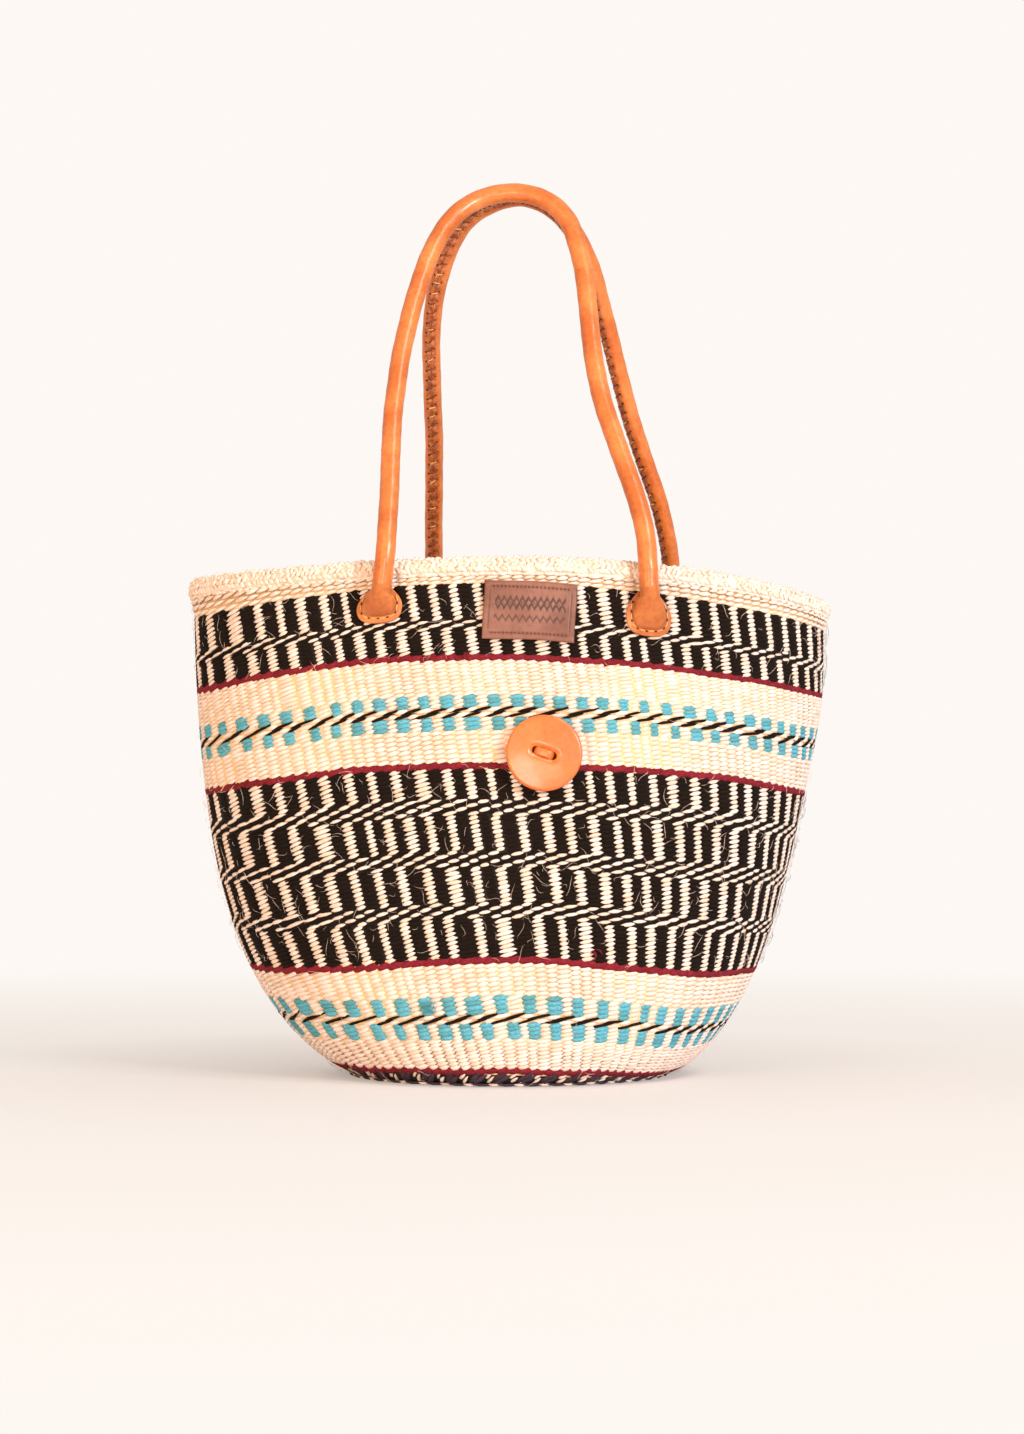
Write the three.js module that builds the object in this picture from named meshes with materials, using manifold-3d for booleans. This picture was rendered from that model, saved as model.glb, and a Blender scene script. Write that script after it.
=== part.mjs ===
// A kiondo basket: an oval twined sisal basket with a bound rim, two long rolled
// leather handles, a leather label, and a laced leather button with a closing strap.
// Millimetres, +Z up. The origin is at the middle of the underside, and the front,
// with the button, faces -Y. Left and right are as seen from the front.
import * as THREE from 'three';
import { mergeVertices } from 'three/addons/utils/BufferGeometryUtils.js';
import Module from 'manifold-3d';

const wasm = await Module();
wasm.setup();

// Woven basket
const wallHeight = 292;
const baseRadius = 100;
const rimHalfWidth = 187;
const rimHalfDepth = 105;
const bellyHalfDepth = 117;
const flareRise = 80; // the height in which the round ends do most of their flaring
const bellyRise = 30; // the same for the flatter front and back
const sideDrop = 14; // how far the rim sinks at the round ends
const rimTilt = 6; // how much more it sinks at the right end, and less at the left
const wallThickness = 5;
const floorThickness = 5;

// Rim binding, an overcast roll that caps the weave
const rimTall = 15;
const rimProud = 2.5;
const rimOverlap = 10;

// Rolled leather handles round a rope core
const handleSpacing = 144;
const handleRise = 240;
const handleRadius = 5.5;
const coverThickness = 1.4;
const seamThreadRadius = 0.6;
const neckRise = 280;
const neckClearance = 0.8; // between a handle and the rim roll that it passes
const topHalfGap = 8; // from the middle plane to each handle's centre line at the top
const frontHandleOffset = 3.5;
const backHandleOffset = 26;
const handleSwing = 150; // degrees from upright to lying outward on the sewn tabs

// Handle tabs, their stitching and the patches behind them
const tabHalfWidth = 12.5;
const tabThickness = 2.4;
const leftTabTall = 19;
const rightTabTall = 25;
const tabBorder = 2.8;
const tabThreadRadius = 0.5;
const domeHalfWidth = 8;
const domeProud = 8;
const patchWidth = 30;
const patchTall = 26;
const patchCorner = 6;
const patchThickness = 2;
const patchDrop = 16; // from the neck down to the middle of the patch

// Label
const labelWidth = 53;
const labelTall = 33;
const labelCorner = 1.5;
const labelThickness = 1.8;
const labelOffset = 11;
const labelRise = 264.5;
const labelTurn = 3; // degrees clockwise
const labelMargin = 3.4;
const labelThreadRadius = 0.4;

// Button and its lace
const buttonRadius = 22.3;
const buttonThickness = 4;
const buttonEdge = 1.2;
const buttonStandOff = 4;
const buttonOffset = 19;
const buttonRise = 187;
const buttonHoleRadius = 3;
const buttonHoleSpacing = 9.6;
const buttonTurn = 18; // degrees clockwise, of the line through both holes
const laceWidth = 4;
const laceThickness = 1.5;
const laceBarGap = 0.7; // room over and under the lace for the button to rock
const laceHoleRadius = 2.6;

// Closing strap, which hangs inside the back wall
const strapWidth = 16;
const strapThickness = 3;
const strapLength = 165;
const strapRise = 274;
const buttonholeLength = 48;
const buttonholeWidth = 6;
const buttonholeMargin = 9;
const anchorWidth = 30;
const anchorTall = 26;
const anchorCorner = 4;
const anchorThickness = 2.4;
const anchorMargin = 3.2;
const anchorThreadRadius = 0.5;

// Clearances and cutting room shared by all pieces
const clearance = 0.3;
const overrun = 2;

// Colours of the leathers and yarns
const sisalColour = '#f0dcb8';
const leatherColour = '#c8702f';
const seamColour = '#6e3a1c';
const threadColour = '#d9a868';
const labelColour = '#6f4334';
const ropeColour = '#c9ad7c';

// How the centre line of each handle runs from the left neck to the right one:
// shares of the spacing to the right of the middle, and of the rise above the necks.
const frontRouteShares = [
  [-0.5, 0], [-0.489, 0.1], [-0.48, 0.25], [-0.474, 0.4], [-0.447, 0.56], [-0.405, 0.69],
  [-0.338, 0.83], [-0.25, 0.93], [-0.13, 0.985], [0, 1], [0.12, 0.982], [0.2, 0.935],
  [0.25, 0.85], [0.278, 0.74], [0.294, 0.62], [0.325, 0.49], [0.378, 0.375],
  [0.44, 0.26], [0.487, 0.15], [0.497, 0.07], [0.5, 0],
];
const backRouteShares = [
  [-0.5, 0], [-0.5, 0.1], [-0.497, 0.25], [-0.493, 0.42], [-0.5, 0.58], [-0.497, 0.7],
  [-0.472, 0.79], [-0.42, 0.88], [-0.34, 0.95], [-0.22, 0.99], [-0.12, 1], [-0.02, 0.98],
  [0.07, 0.93], [0.14, 0.855], [0.19, 0.76], [0.245, 0.64], [0.3, 0.52], [0.36, 0.41],
  [0.43, 0.295], [0.476, 0.19], [0.495, 0.1], [0.5, 0],
];

// Heights of the rings that the wall is shaped by, close together where it flares.
const ringShares = [0, 0.02, 0.05, 0.09, 0.14, 0.2, 0.28, 0.38, 0.5, 0.65, 0.82, 1];
const bendShare = 0.1; // of the handle's rise, where it starts to lean inward

const ringSteps = 48;
const rollSteps = 10;
const handleSteps = 38;
const handleSides = 10;
const threadSides = 5;
const discSides = 32;

// Shape of the outer face of the weave: an ellipse at each height, from a round base
// to a long oval rim. Its ends flare more, so the same rows of weave reach less high there.
function halfWidth(rise) {
  const flared = (1 - Math.exp(-rise / flareRise)) / (1 - Math.exp(-wallHeight / flareRise));
  return baseRadius + (rimHalfWidth - baseRadius) * flared;
}

function halfDepth(rise) {
  const bellied = (bellyHalfDepth - baseRadius) * (1 - Math.exp(-rise / bellyRise));
  return baseRadius + bellied - ((bellyHalfDepth - rimHalfDepth) * rise) / wallHeight;
}

function outerPoint(angle, rise) {
  const heightShare = rise / wallHeight;
  const along = Math.cos(angle);
  const sunk = sideDrop * (1 - (1 - heightShare) ** 3) + rimTilt * along * heightShare ** 6;
  return new THREE.Vector3(
    halfWidth(rise) * along,
    halfDepth(rise) * Math.sin(angle),
    rise - sunk * along ** 2,
  );
}

function wallTangents(angle, rise) {
  const turn = Math.PI / ringSteps;
  const step = wallThickness;
  const around = outerPoint(angle + turn, rise).sub(outerPoint(angle - turn, rise));
  const up = outerPoint(angle, rise + step).sub(outerPoint(angle, rise - step));
  const normal = around.clone().cross(up).normalize();
  return { around: around.divideScalar(2 * turn), normal };
}

// A point at a depth under the outer face, or above it where the depth is negative.
function wallPoint(angle, rise, depth) {
  return outerPoint(angle, rise).addScaledVector(wallTangents(angle, rise).normal, -depth);
}

// A place on the front or back wall, by its distance from the middle. Across runs to the
// right for someone who faces that wall from outside.
function placeOnWall(isFront, offset, rise) {
  const turn = Math.acos(offset / halfWidth(rise));
  const angle = isFront ? -turn : turn;
  const { around, normal } = wallTangents(angle, rise);
  const speed = around.length();
  const across = around.divideScalar(speed);
  const up = normal.clone().cross(across);
  const frame = new THREE.Matrix4().makeBasis(across, up, normal);
  frame.setPosition(outerPoint(angle, rise));
  return { angle, rise, speed, frame, normal };
}

function pointNear(place, across, up, depth) {
  return wallPoint(place.angle + across / place.speed, place.rise + up, depth);
}

// Solids for cutting and joining
function solidOf(geometry) {
  const plain = geometry.clone();
  plain.deleteAttribute('normal');
  plain.deleteAttribute('uv');
  const merged = mergeVertices(plain);
  const corners = [];
  for (let i = 0; i < merged.index.count; i += 3) {
    const [a, b, c] = [0, 1, 2].map((k) => merged.index.getX(i + k));
    if (a !== b && b !== c && c !== a) corners.push(a, b, c);
  }
  const vertProperties = Float32Array.from(merged.attributes.position.array);
  const mesh = new wasm.Mesh({ numProp: 3, vertProperties, triVerts: Uint32Array.from(corners) });
  return new wasm.Manifold(mesh);
}

function geometryOf(solid) {
  const mesh = solid.getMesh();
  const geometry = new THREE.BufferGeometry();
  const positions = new THREE.BufferAttribute(mesh.vertProperties, 3);
  geometry.setAttribute('position', positions);
  geometry.setIndex(new THREE.BufferAttribute(mesh.triVerts, 1));
  geometry.computeVertexNormals();
  return geometry;
}

// Turns a section of depths and heights round the basket, and sets each of its points
// on the wall. A point with a centre height lies on the middle axis instead.
function ringOf(section) {
  const outline = section.map((_, index) => new THREE.Vector2(baseRadius, index));
  const geometry = new THREE.LatheGeometry(outline, ringSteps);
  const positions = geometry.attributes.position;
  for (let step = 0; step <= ringSteps; step += 1) {
    const angle = (2 * Math.PI * step) / ringSteps;
    section.forEach(({ depth, rise, centreHeight, floorRadius }, index) => {
      let point = new THREE.Vector3(0, 0, centreHeight);
      if (floorRadius) {
        point.set(floorRadius * Math.cos(angle), floorRadius * Math.sin(angle), centreHeight);
      } else if (depth !== undefined) {
        point = wallPoint(angle, rise, depth);
      }
      positions.setXYZ(step * section.length + index, point.x, point.y, point.z);
    });
  }
  return geometry;
}

function tubeAlong(curve, radius, sides, steps) {
  const corners = [];
  for (let side = 0; side < sides; side += 1) {
    const turn = (2 * Math.PI * side) / sides;
    corners.push(new THREE.Vector2(radius * Math.cos(turn), radius * Math.sin(turn)));
  }
  const section = new THREE.Shape(corners);
  return new THREE.ExtrudeGeometry(section, { steps, bevelEnabled: false, extrudePath: curve });
}

function prism(shape, place, from, to) {
  const settings = { depth: to - from, bevelEnabled: false, curveSegments: 4 };
  const geometry = new THREE.ExtrudeGeometry(shape, settings);
  geometry.translate(0, 0, from);
  return geometry.applyMatrix4(place.frame);
}

// A slab that follows the wall, between two heights above its outer face.
function curvedSlab(place, halfAcross, halfUp, near, far) {
  const slab = new THREE.BoxGeometry(2 * halfAcross, 2 * halfUp, far - near, 6, 2, 1);
  slab.translate(0, 0, (near + far) / 2);
  const positions = slab.attributes.position;
  for (let i = 0; i < positions.count; i += 1) {
    const [across, up, above] = [positions.getX(i), positions.getY(i), positions.getZ(i)];
    const point = pointNear(place, across, up, -above);
    positions.setXYZ(i, point.x, point.y, point.z);
  }
  return slab;
}

function wrappedPlate(shape, place, near, thickness, reach) {
  const slab = solidOf(curvedSlab(place, reach, reach, near, near + thickness));
  const cutter = solidOf(prism(shape, place, near - 2 * overrun, near + thickness + overrun));
  return slab.intersect(cutter);
}

function roundedRectangle(width, tall, corner) {
  const [x, y] = [width / 2 - corner, tall / 2 - corner];
  const shape = new THREE.Shape();
  shape.absarc(x, y, corner, 0, Math.PI / 2);
  shape.absarc(-x, y, corner, Math.PI / 2, Math.PI);
  shape.absarc(-x, -y, corner, Math.PI, 1.5 * Math.PI);
  shape.absarc(x, -y, corner, 1.5 * Math.PI, 2 * Math.PI);
  return shape;
}

// Materials
function leather(color = leatherColour) {
  return new THREE.MeshStandardMaterial({ color, roughness: 0.42, metalness: 0 });
}

function yarn(color) {
  return new THREE.MeshStandardMaterial({ color, roughness: 0.85, metalness: 0 });
}

function named(name, geometry, material) {
  const mesh = new THREE.Mesh(geometry, material);
  mesh.name = name;
  return mesh;
}

// The woven shell: floor and wall are one piece of twining, open at the top.
function wovenBasket(lacePlace) {
  const rises = ringShares.map((share) => share * wallHeight);
  const outer = rises.map((rise) => ({ depth: 0, rise }));
  const inner = rises.slice(2).reverse().map((rise) => ({ depth: wallThickness, rise }));
  const floorRadius = baseRadius - wallThickness;
  const section = [
    { centreHeight: 0 },
    ...outer,
    ...inner,
    { centreHeight: floorThickness, floorRadius },
    { centreHeight: floorThickness },
  ];
  let shell = solidOf(ringOf(section));
  for (const hand of [-1, 1]) {
    shell = shell.subtract(solidOf(laceCutter(lacePlace, hand)));
  }
  return named('woven_basket', geometryOf(shell), yarn(sisalColour));
}

// An oval roll with a groove underneath, which takes the top edge of the weave.
function rimBinding() {
  const halfAcross = wallThickness / 2 + rimProud;
  const grooveHalf = wallThickness / 2 + clearance;
  const middleRise = wallHeight - rimOverlap + rimTall / 2;
  const grooveTurn = Math.acos(grooveHalf / halfAcross);
  const section = [];
  for (let step = 0; step <= rollSteps; step += 1) {
    const turn = -grooveTurn + ((Math.PI + 2 * grooveTurn) * step) / rollSteps;
    section.push({
      depth: wallThickness / 2 - halfAcross * Math.cos(turn),
      rise: middleRise + (rimTall / 2) * Math.sin(turn),
    });
  }
  section.push({ depth: wallThickness / 2 + grooveHalf, rise: wallHeight + clearance });
  section.push({ depth: wallThickness / 2 - grooveHalf, rise: wallHeight + clearance });
  section.push({ ...section[0] });
  return named('rim_binding', ringOf(section), yarn(sisalColour));
}

// Handles
const neckStandOff = rimProud + neckClearance + handleRadius;

function neckPlace(handle, hand) {
  return placeOnWall(handle.isFront, handle.offset + (hand * handleSpacing) / 2, neckRise);
}

function neckPoint(handle, hand) {
  const place = neckPlace(handle, hand);
  return wallPoint(place.angle, place.rise, -neckStandOff);
}

function handleRoute(handle) {
  const left = neckPoint(handle, -1);
  const right = neckPoint(handle, 1);
  const topDepth = handle.isFront ? -topHalfGap : topHalfGap;
  const points = handle.routeShares.map(([acrossShare, upShare]) => {
    const point = left.clone().lerp(right, acrossShare + 1 / 2);
    const leanShare = Math.max(0, (upShare - bendShare) / (1 - bendShare));
    point.y = THREE.MathUtils.lerp(point.y, topDepth, leanShare);
    point.z += upShare * handleRise;
    return point;
  });
  return new THREE.CatmullRomCurve3(points, false, 'centripetal');
}

// The leather closes round the rope, and its ends are rounded where they flex.
function handleCover(handle, route) {
  const boreRadius = handleRadius - coverThickness;
  let cover = solidOf(tubeAlong(route, handleRadius, handleSides, handleSteps));
  for (const hand of [-1, 1]) {
    const end = new THREE.SphereGeometry(handleRadius, 10, 6);
    const neck = neckPoint(handle, hand);
    cover = cover.add(solidOf(end.translate(neck.x, neck.y, neck.z)));
  }
  cover = cover.subtract(solidOf(tubeAlong(route, boreRadius, handleSides, handleSteps)));
  for (const hand of [-1, 1]) {
    cover = cover.subtract(solidOf(neckMouth(handle, route, hand, boreRadius)));
  }
  return named(`${handle.name}_cover`, geometryOf(cover), leather());
}

function neckMouth(handle, route, hand, boreRadius) {
  const neck = neckPoint(handle, hand);
  const outward = route.getTangentAt(hand < 0 ? 0 : 1).multiplyScalar(hand);
  const end = neck.clone().addScaledVector(outward, handleRadius + overrun);
  const inside = neck.clone().addScaledVector(outward, -boreRadius / 2);
  return tubeAlong(new THREE.LineCurve3(inside, end), boreRadius, handleSides, 1);
}

function handleCore(handle, route) {
  const boreRadius = handleRadius - coverThickness;
  const coreRadius = boreRadius * Math.cos(Math.PI / handleSides) - clearance;
  const geometry = tubeAlong(route, coreRadius, handleSides, handleSteps);
  return named(`${handle.name}_core`, geometry, yarn(ropeColour));
}

// The whip-stitched seam runs along the side that faces the other handle.
function handleSeam(handle, route) {
  const away = handleRadius + 2 * clearance + seamThreadRadius;
  const inward = new THREE.Vector3(0, handle.isFront ? 1 : -1, 0);
  const points = [];
  for (let step = 1; step < handleSteps; step += 1) {
    const tangent = route.getTangentAt(step / handleSteps);
    const side = inward.clone().addScaledVector(tangent, -inward.dot(tangent)).normalize();
    points.push(route.getPointAt(step / handleSteps).addScaledVector(side, away));
  }
  const seam = new THREE.CatmullRomCurve3(points, false, 'centripetal');
  const geometry = tubeAlong(seam, seamThreadRadius, threadSides, handleSteps);
  return named(`${handle.name}_seam_thread`, geometry, yarn(seamColour));
}

// A bell-shaped tab, measured down from the neck.
function tabShape(tall, inset) {
  const half = tabHalfWidth - inset;
  const neckHalf = handleRadius + tabThreadRadius;
  const low = inset - tall;
  const shape = new THREE.Shape();
  shape.moveTo(-neckHalf, -inset);
  shape.bezierCurveTo(-neckHalf, -tall / 3, -half, -tall / 4, -half, -tall / 2);
  shape.bezierCurveTo(-half, low * 0.85, -half / 2, low, 0, low);
  shape.bezierCurveTo(half / 2, low, half, low * 0.85, half, -tall / 2);
  shape.bezierCurveTo(half, -tall / 4, neckHalf, -tall / 3, neckHalf, -inset);
  return shape;
}

function handleTab(handle, hand, name) {
  const place = neckPlace(handle, hand);
  const tall = tabTall(hand);
  const reach = tall + tabHalfWidth;
  let tab = wrappedPlate(tabShape(tall, 0), place, clearance, tabThickness, reach);
  tab = tab.add(tabDome(place, tall));
  tab = tab.subtract(neckRoom(handle, hand));
  return named(name, geometryOf(tab), leather());
}

function tabTall(hand) {
  return hand < 0 ? leftTabTall : rightTabTall;
}

// The end of the rope core bulges under the leather, inside the stitching.
function tabDome(place, tall) {
  const half = (tall - tabBorder - tabThreadRadius - 3 * clearance) / 2;
  const bulge = new THREE.SphereGeometry(1, 14, 8);
  bulge.scale(domeHalfWidth, half, domeProud);
  bulge.translate(0, -half, 0);
  const slab = curvedSlab(place, 2 * tabHalfWidth, 2 * tall, clearance, 2 * domeProud);
  return solidOf(bulge.applyMatrix4(place.frame)).intersect(solidOf(slab));
}

// The room that the rounded end of a handle needs, upright and swung right out.
function neckRoom(handle, hand) {
  const neck = neckPoint(handle, hand);
  const radius = handleRadius + neckClearance;
  const ball = new THREE.SphereGeometry(radius, 12, 8).translate(neck.x, neck.y, neck.z);
  const axis = neckPoint(handle, 1).sub(neckPoint(handle, -1)).normalize();
  const swing = THREE.MathUtils.degToRad(handle.isFront ? handleSwing : -handleSwing);
  const swung = new THREE.Vector3(0, 0, 1).applyAxisAngle(axis, swing);
  const far = neck.clone().addScaledVector(swung, 2 * rightTabTall);
  const rod = tubeAlong(new THREE.LineCurve3(neck, far), radius, 12, 1);
  return solidOf(ball).add(solidOf(rod));
}

function tabThread(handle, hand, name) {
  const place = neckPlace(handle, hand);
  const tall = tabTall(hand);
  const above = tabThickness + 2 * clearance + tabThreadRadius;
  const outline = tabShape(tall, tabBorder).getPoints(5);
  const points = outline
    .filter(({ x, y }) => y < -tall / 4 && Math.hypot(x, y) > handleRadius + tabBorder)
    .map(({ x, y }) => pointNear(place, x, y, -above));
  const line = new THREE.CatmullRomCurve3(points, false, 'centripetal');
  return named(name, tubeAlong(line, tabThreadRadius, threadSides, 14), yarn(threadColour));
}

// A plain patch inside the wall takes the stitches that go through from the tab.
function backingPatch(handle, hand, name) {
  const offset = handle.offset + (hand * handleSpacing) / 2;
  const place = placeOnWall(handle.isFront, offset, neckRise - patchDrop);
  const near = -wallThickness - clearance - patchThickness;
  const shape = roundedRectangle(patchWidth, patchTall, patchCorner);
  const patch = wrappedPlate(shape, place, near, patchThickness, patchWidth);
  return named(name, geometryOf(patch), leather());
}

// Label: a stitched patch, bent to the wall and a little askew
function labelPlace() {
  return placeOnWall(true, labelOffset, labelRise);
}

function labelPatch() {
  const place = labelPlace();
  const turn = new THREE.Matrix4().makeRotationZ(-THREE.MathUtils.degToRad(labelTurn));
  const turned = { ...place, frame: place.frame.clone().multiply(turn) };
  const shape = roundedRectangle(labelWidth, labelTall, labelCorner);
  const patch = wrappedPlate(shape, turned, clearance, labelThickness, labelWidth);
  return named('label_patch', geometryOf(patch), leather(labelColour));
}

function labelThread(name, hand) {
  const turn = -THREE.MathUtils.degToRad(labelTurn);
  const half = labelWidth / 2 - labelMargin;
  const up = hand * (labelTall / 2 - labelMargin);
  const above = labelThickness + 2 * clearance + labelThreadRadius;
  const points = [-1, -1 / 2, 0, 1 / 2, 1].map((share) => {
    const spot = new THREE.Vector2(share * half, up).rotateAround(new THREE.Vector2(), turn);
    return pointNear(labelPlace(), spot.x, spot.y, -above);
  });
  const line = new THREE.CatmullRomCurve3(points, false, 'centripetal');
  return named(name, tubeAlong(line, labelThreadRadius, threadSides, 8), yarn(seamColour));
}

// Button: a thick leather disc on a flat lace, standing off the wall
function buttonPlace() {
  return placeOnWall(true, buttonOffset, buttonRise);
}

function button() {
  const [top, foot] = [buttonThickness / 2, -buttonThickness / 2];
  const outline = [
    new THREE.Vector2(0, foot),
    new THREE.Vector2(buttonRadius - buttonEdge, foot),
    new THREE.Vector2(buttonRadius, foot + buttonEdge / 2),
    new THREE.Vector2(buttonRadius, top - buttonEdge),
    new THREE.Vector2(buttonRadius - buttonEdge, top - buttonEdge / 4),
    new THREE.Vector2(buttonRadius - 3 * buttonEdge, top),
    new THREE.Vector2(0, top),
  ];
  const disc = new THREE.LatheGeometry(outline, discSides).rotateX(Math.PI / 2);
  let solid = solidOf(disc);
  for (const hand of [-1, 1]) {
    const hole = new THREE.CylinderGeometry(
      buttonHoleRadius, buttonHoleRadius, buttonThickness + overrun, 16);
    hole.rotateX(Math.PI / 2).translate((hand * buttonHoleSpacing) / 2, 0, 0);
    solid = solid.subtract(solidOf(hole));
  }
  return named('button', geometryOf(solid), leather());
}

function box(width, tall, deep, x, y, z) {
  return solidOf(new THREE.BoxGeometry(width, tall, deep).translate(x, y, z));
}

// One strip of lace: over the front of the button, back through both holes and the wall.
function buttonLace() {
  const front = buttonThickness / 2 + laceBarGap;
  const back = -buttonThickness / 2 - buttonStandOff - wallThickness - laceBarGap;
  const span = buttonHoleSpacing + laceThickness;
  let lace = box(span, laceWidth, laceThickness, 0, 0, front + laceThickness / 2);
  lace = lace.add(box(span, laceWidth, laceThickness, 0, 0, back - laceThickness / 2));
  for (const hand of [-1, 1]) {
    const x = (hand * buttonHoleSpacing) / 2;
    const tall = front - back + laceThickness;
    lace = lace.add(box(laceThickness, laceWidth, tall, x, 0, (front + back) / 2));
  }
  return named('button_lace', geometryOf(lace), leather());
}

function laceCutter(place, hand) {
  const turn = -THREE.MathUtils.degToRad(buttonTurn);
  const deep = wallThickness + 2 * overrun;
  const hole = new THREE.CylinderGeometry(laceHoleRadius, laceHoleRadius, deep, 12);
  hole.rotateX(Math.PI / 2).translate((hand * buttonHoleSpacing) / 2, 0, -wallThickness / 2);
  return hole.rotateZ(turn).applyMatrix4(place.frame);
}

function buttonGroup() {
  const group = new THREE.Group();
  const turn = new THREE.Matrix4().makeRotationZ(-THREE.MathUtils.degToRad(buttonTurn));
  const above = buttonStandOff + buttonThickness / 2;
  const lift = new THREE.Matrix4().makeTranslation(0, 0, above);
  const frame = buttonPlace().frame.clone().multiply(turn).multiply(lift);
  frame.decompose(group.position, group.quaternion, group.scale);
  group.add(button(), buttonLace());
  return group;
}

// Closing strap: a flat strap with a buttonhole, hinged on a patch sewn inside the back
function anchorPlace() {
  return placeOnWall(false, buttonOffset, strapRise + 2 * anchorMargin - anchorTall / 2);
}

function closureAnchor() {
  const near = -wallThickness - clearance - anchorThickness;
  const shape = roundedRectangle(anchorWidth, anchorTall, anchorCorner);
  const patch = wrappedPlate(shape, anchorPlace(), near, anchorThickness, anchorWidth);
  return named('closure_anchor', geometryOf(patch), leather());
}

function anchorThread() {
  const half = anchorWidth / 2 - anchorMargin;
  const high = anchorTall / 2 - anchorMargin;
  const depth = wallThickness + anchorThickness + 3 * clearance + anchorThreadRadius;
  const spots = [[half, -high], [half, 0], [half, high], [0, high], [-half, high], [-half, 0],
    [-half, -high]];
  const points = spots.map(([x, y]) => pointNear(anchorPlace(), x, y, depth));
  const line = new THREE.CatmullRomCurve3(points, false, 'centripetal');
  const geometry = tubeAlong(line, anchorThreadRadius, threadSides, 24);
  return named('closure_anchor_thread', geometry, yarn(threadColour));
}

// The strap's sewn end lies flat on the anchor, under the top row of stitches.
function strapHinge() {
  const place = placeOnWall(false, buttonOffset, strapRise);
  const depth = wallThickness + anchorThickness + 2 * clearance + strapThickness / 2;
  const axis = new THREE.Vector3().setFromMatrixColumn(place.frame, 0).negate();
  return { position: wallPoint(place.angle, place.rise, depth), turn: Math.atan2(axis.y, axis.x) };
}

function closureStrap() {
  const half = strapWidth / 2;
  const shape = new THREE.Shape();
  shape.moveTo(half, 0);
  shape.lineTo(-half, 0);
  shape.absarc(0, half - strapLength, half, Math.PI, 2 * Math.PI);
  const slotHalf = buttonholeWidth / 2;
  const low = buttonholeMargin + slotHalf - strapLength;
  const high = low + buttonholeLength - buttonholeWidth;
  const slot = new THREE.Path();
  slot.absarc(0, high, slotHalf, 0, Math.PI);
  slot.absarc(0, low, slotHalf, Math.PI, 2 * Math.PI);
  shape.holes.push(slot);
  const settings = { depth: strapThickness, bevelEnabled: false, curveSegments: 6 };
  const strap = new THREE.ExtrudeGeometry(shape, settings).translate(0, 0, -strapThickness / 2);
  const hinge = new THREE.CylinderGeometry(strapThickness / 2, strapThickness / 2, strapWidth, 12);
  const solid = solidOf(strap).add(solidOf(hinge.rotateZ(Math.PI / 2)));
  const mesh = named('closure_strap', geometryOf(solid), leather());
  const { position, turn } = strapHinge();
  mesh.position.copy(position);
  mesh.rotation.set(Math.PI / 2, 0, turn, 'ZYX');
  return mesh;
}

const kiondo = new THREE.Group();
kiondo.add(wovenBasket(buttonPlace()), rimBinding());

const handles = [
  { name: 'front_handle', side: 'front', isFront: true, offset: frontHandleOffset,
    routeShares: frontRouteShares },
  { name: 'back_handle', side: 'back', isFront: false, offset: backHandleOffset,
    routeShares: backRouteShares },
];
for (const handle of handles) {
  const route = handleRoute(handle);
  kiondo.add(handleCover(handle, route), handleCore(handle, route), handleSeam(handle, route));
  for (const [end, hand] of [['left', -1], ['right', 1]]) {
    kiondo.add(handleTab(handle, hand, `${handle.side}_${end}_tab`));
    kiondo.add(tabThread(handle, hand, `${handle.side}_${end}_tab_thread`));
    kiondo.add(backingPatch(handle, hand, `${handle.side}_${end}_backing_patch`));
  }
}

kiondo.add(labelPatch(), labelThread('label_top_thread', 1), labelThread('label_bottom_thread', -1));
kiondo.add(buttonGroup());
kiondo.add(closureAnchor(), anchorThread(), closureStrap());

export default kiondo;
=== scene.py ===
# %% [markdown]
# # A kiondo basket, stitch by stitch
#
# A kiondo is twined from sisal and dyed wool. Two strands cross between upright warps, so
# that each of them shows as a small pointed grain, then hides behind the next warp. This
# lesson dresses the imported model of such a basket: it lays every grain of yarn on the wall,
# plaits the rim, and rolls, stitches and presses the leather.

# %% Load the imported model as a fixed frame
import math
from collections import namedtuple

import bmesh
import bpy
import numpy as np
from mathutils import Matrix, Vector


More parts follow.
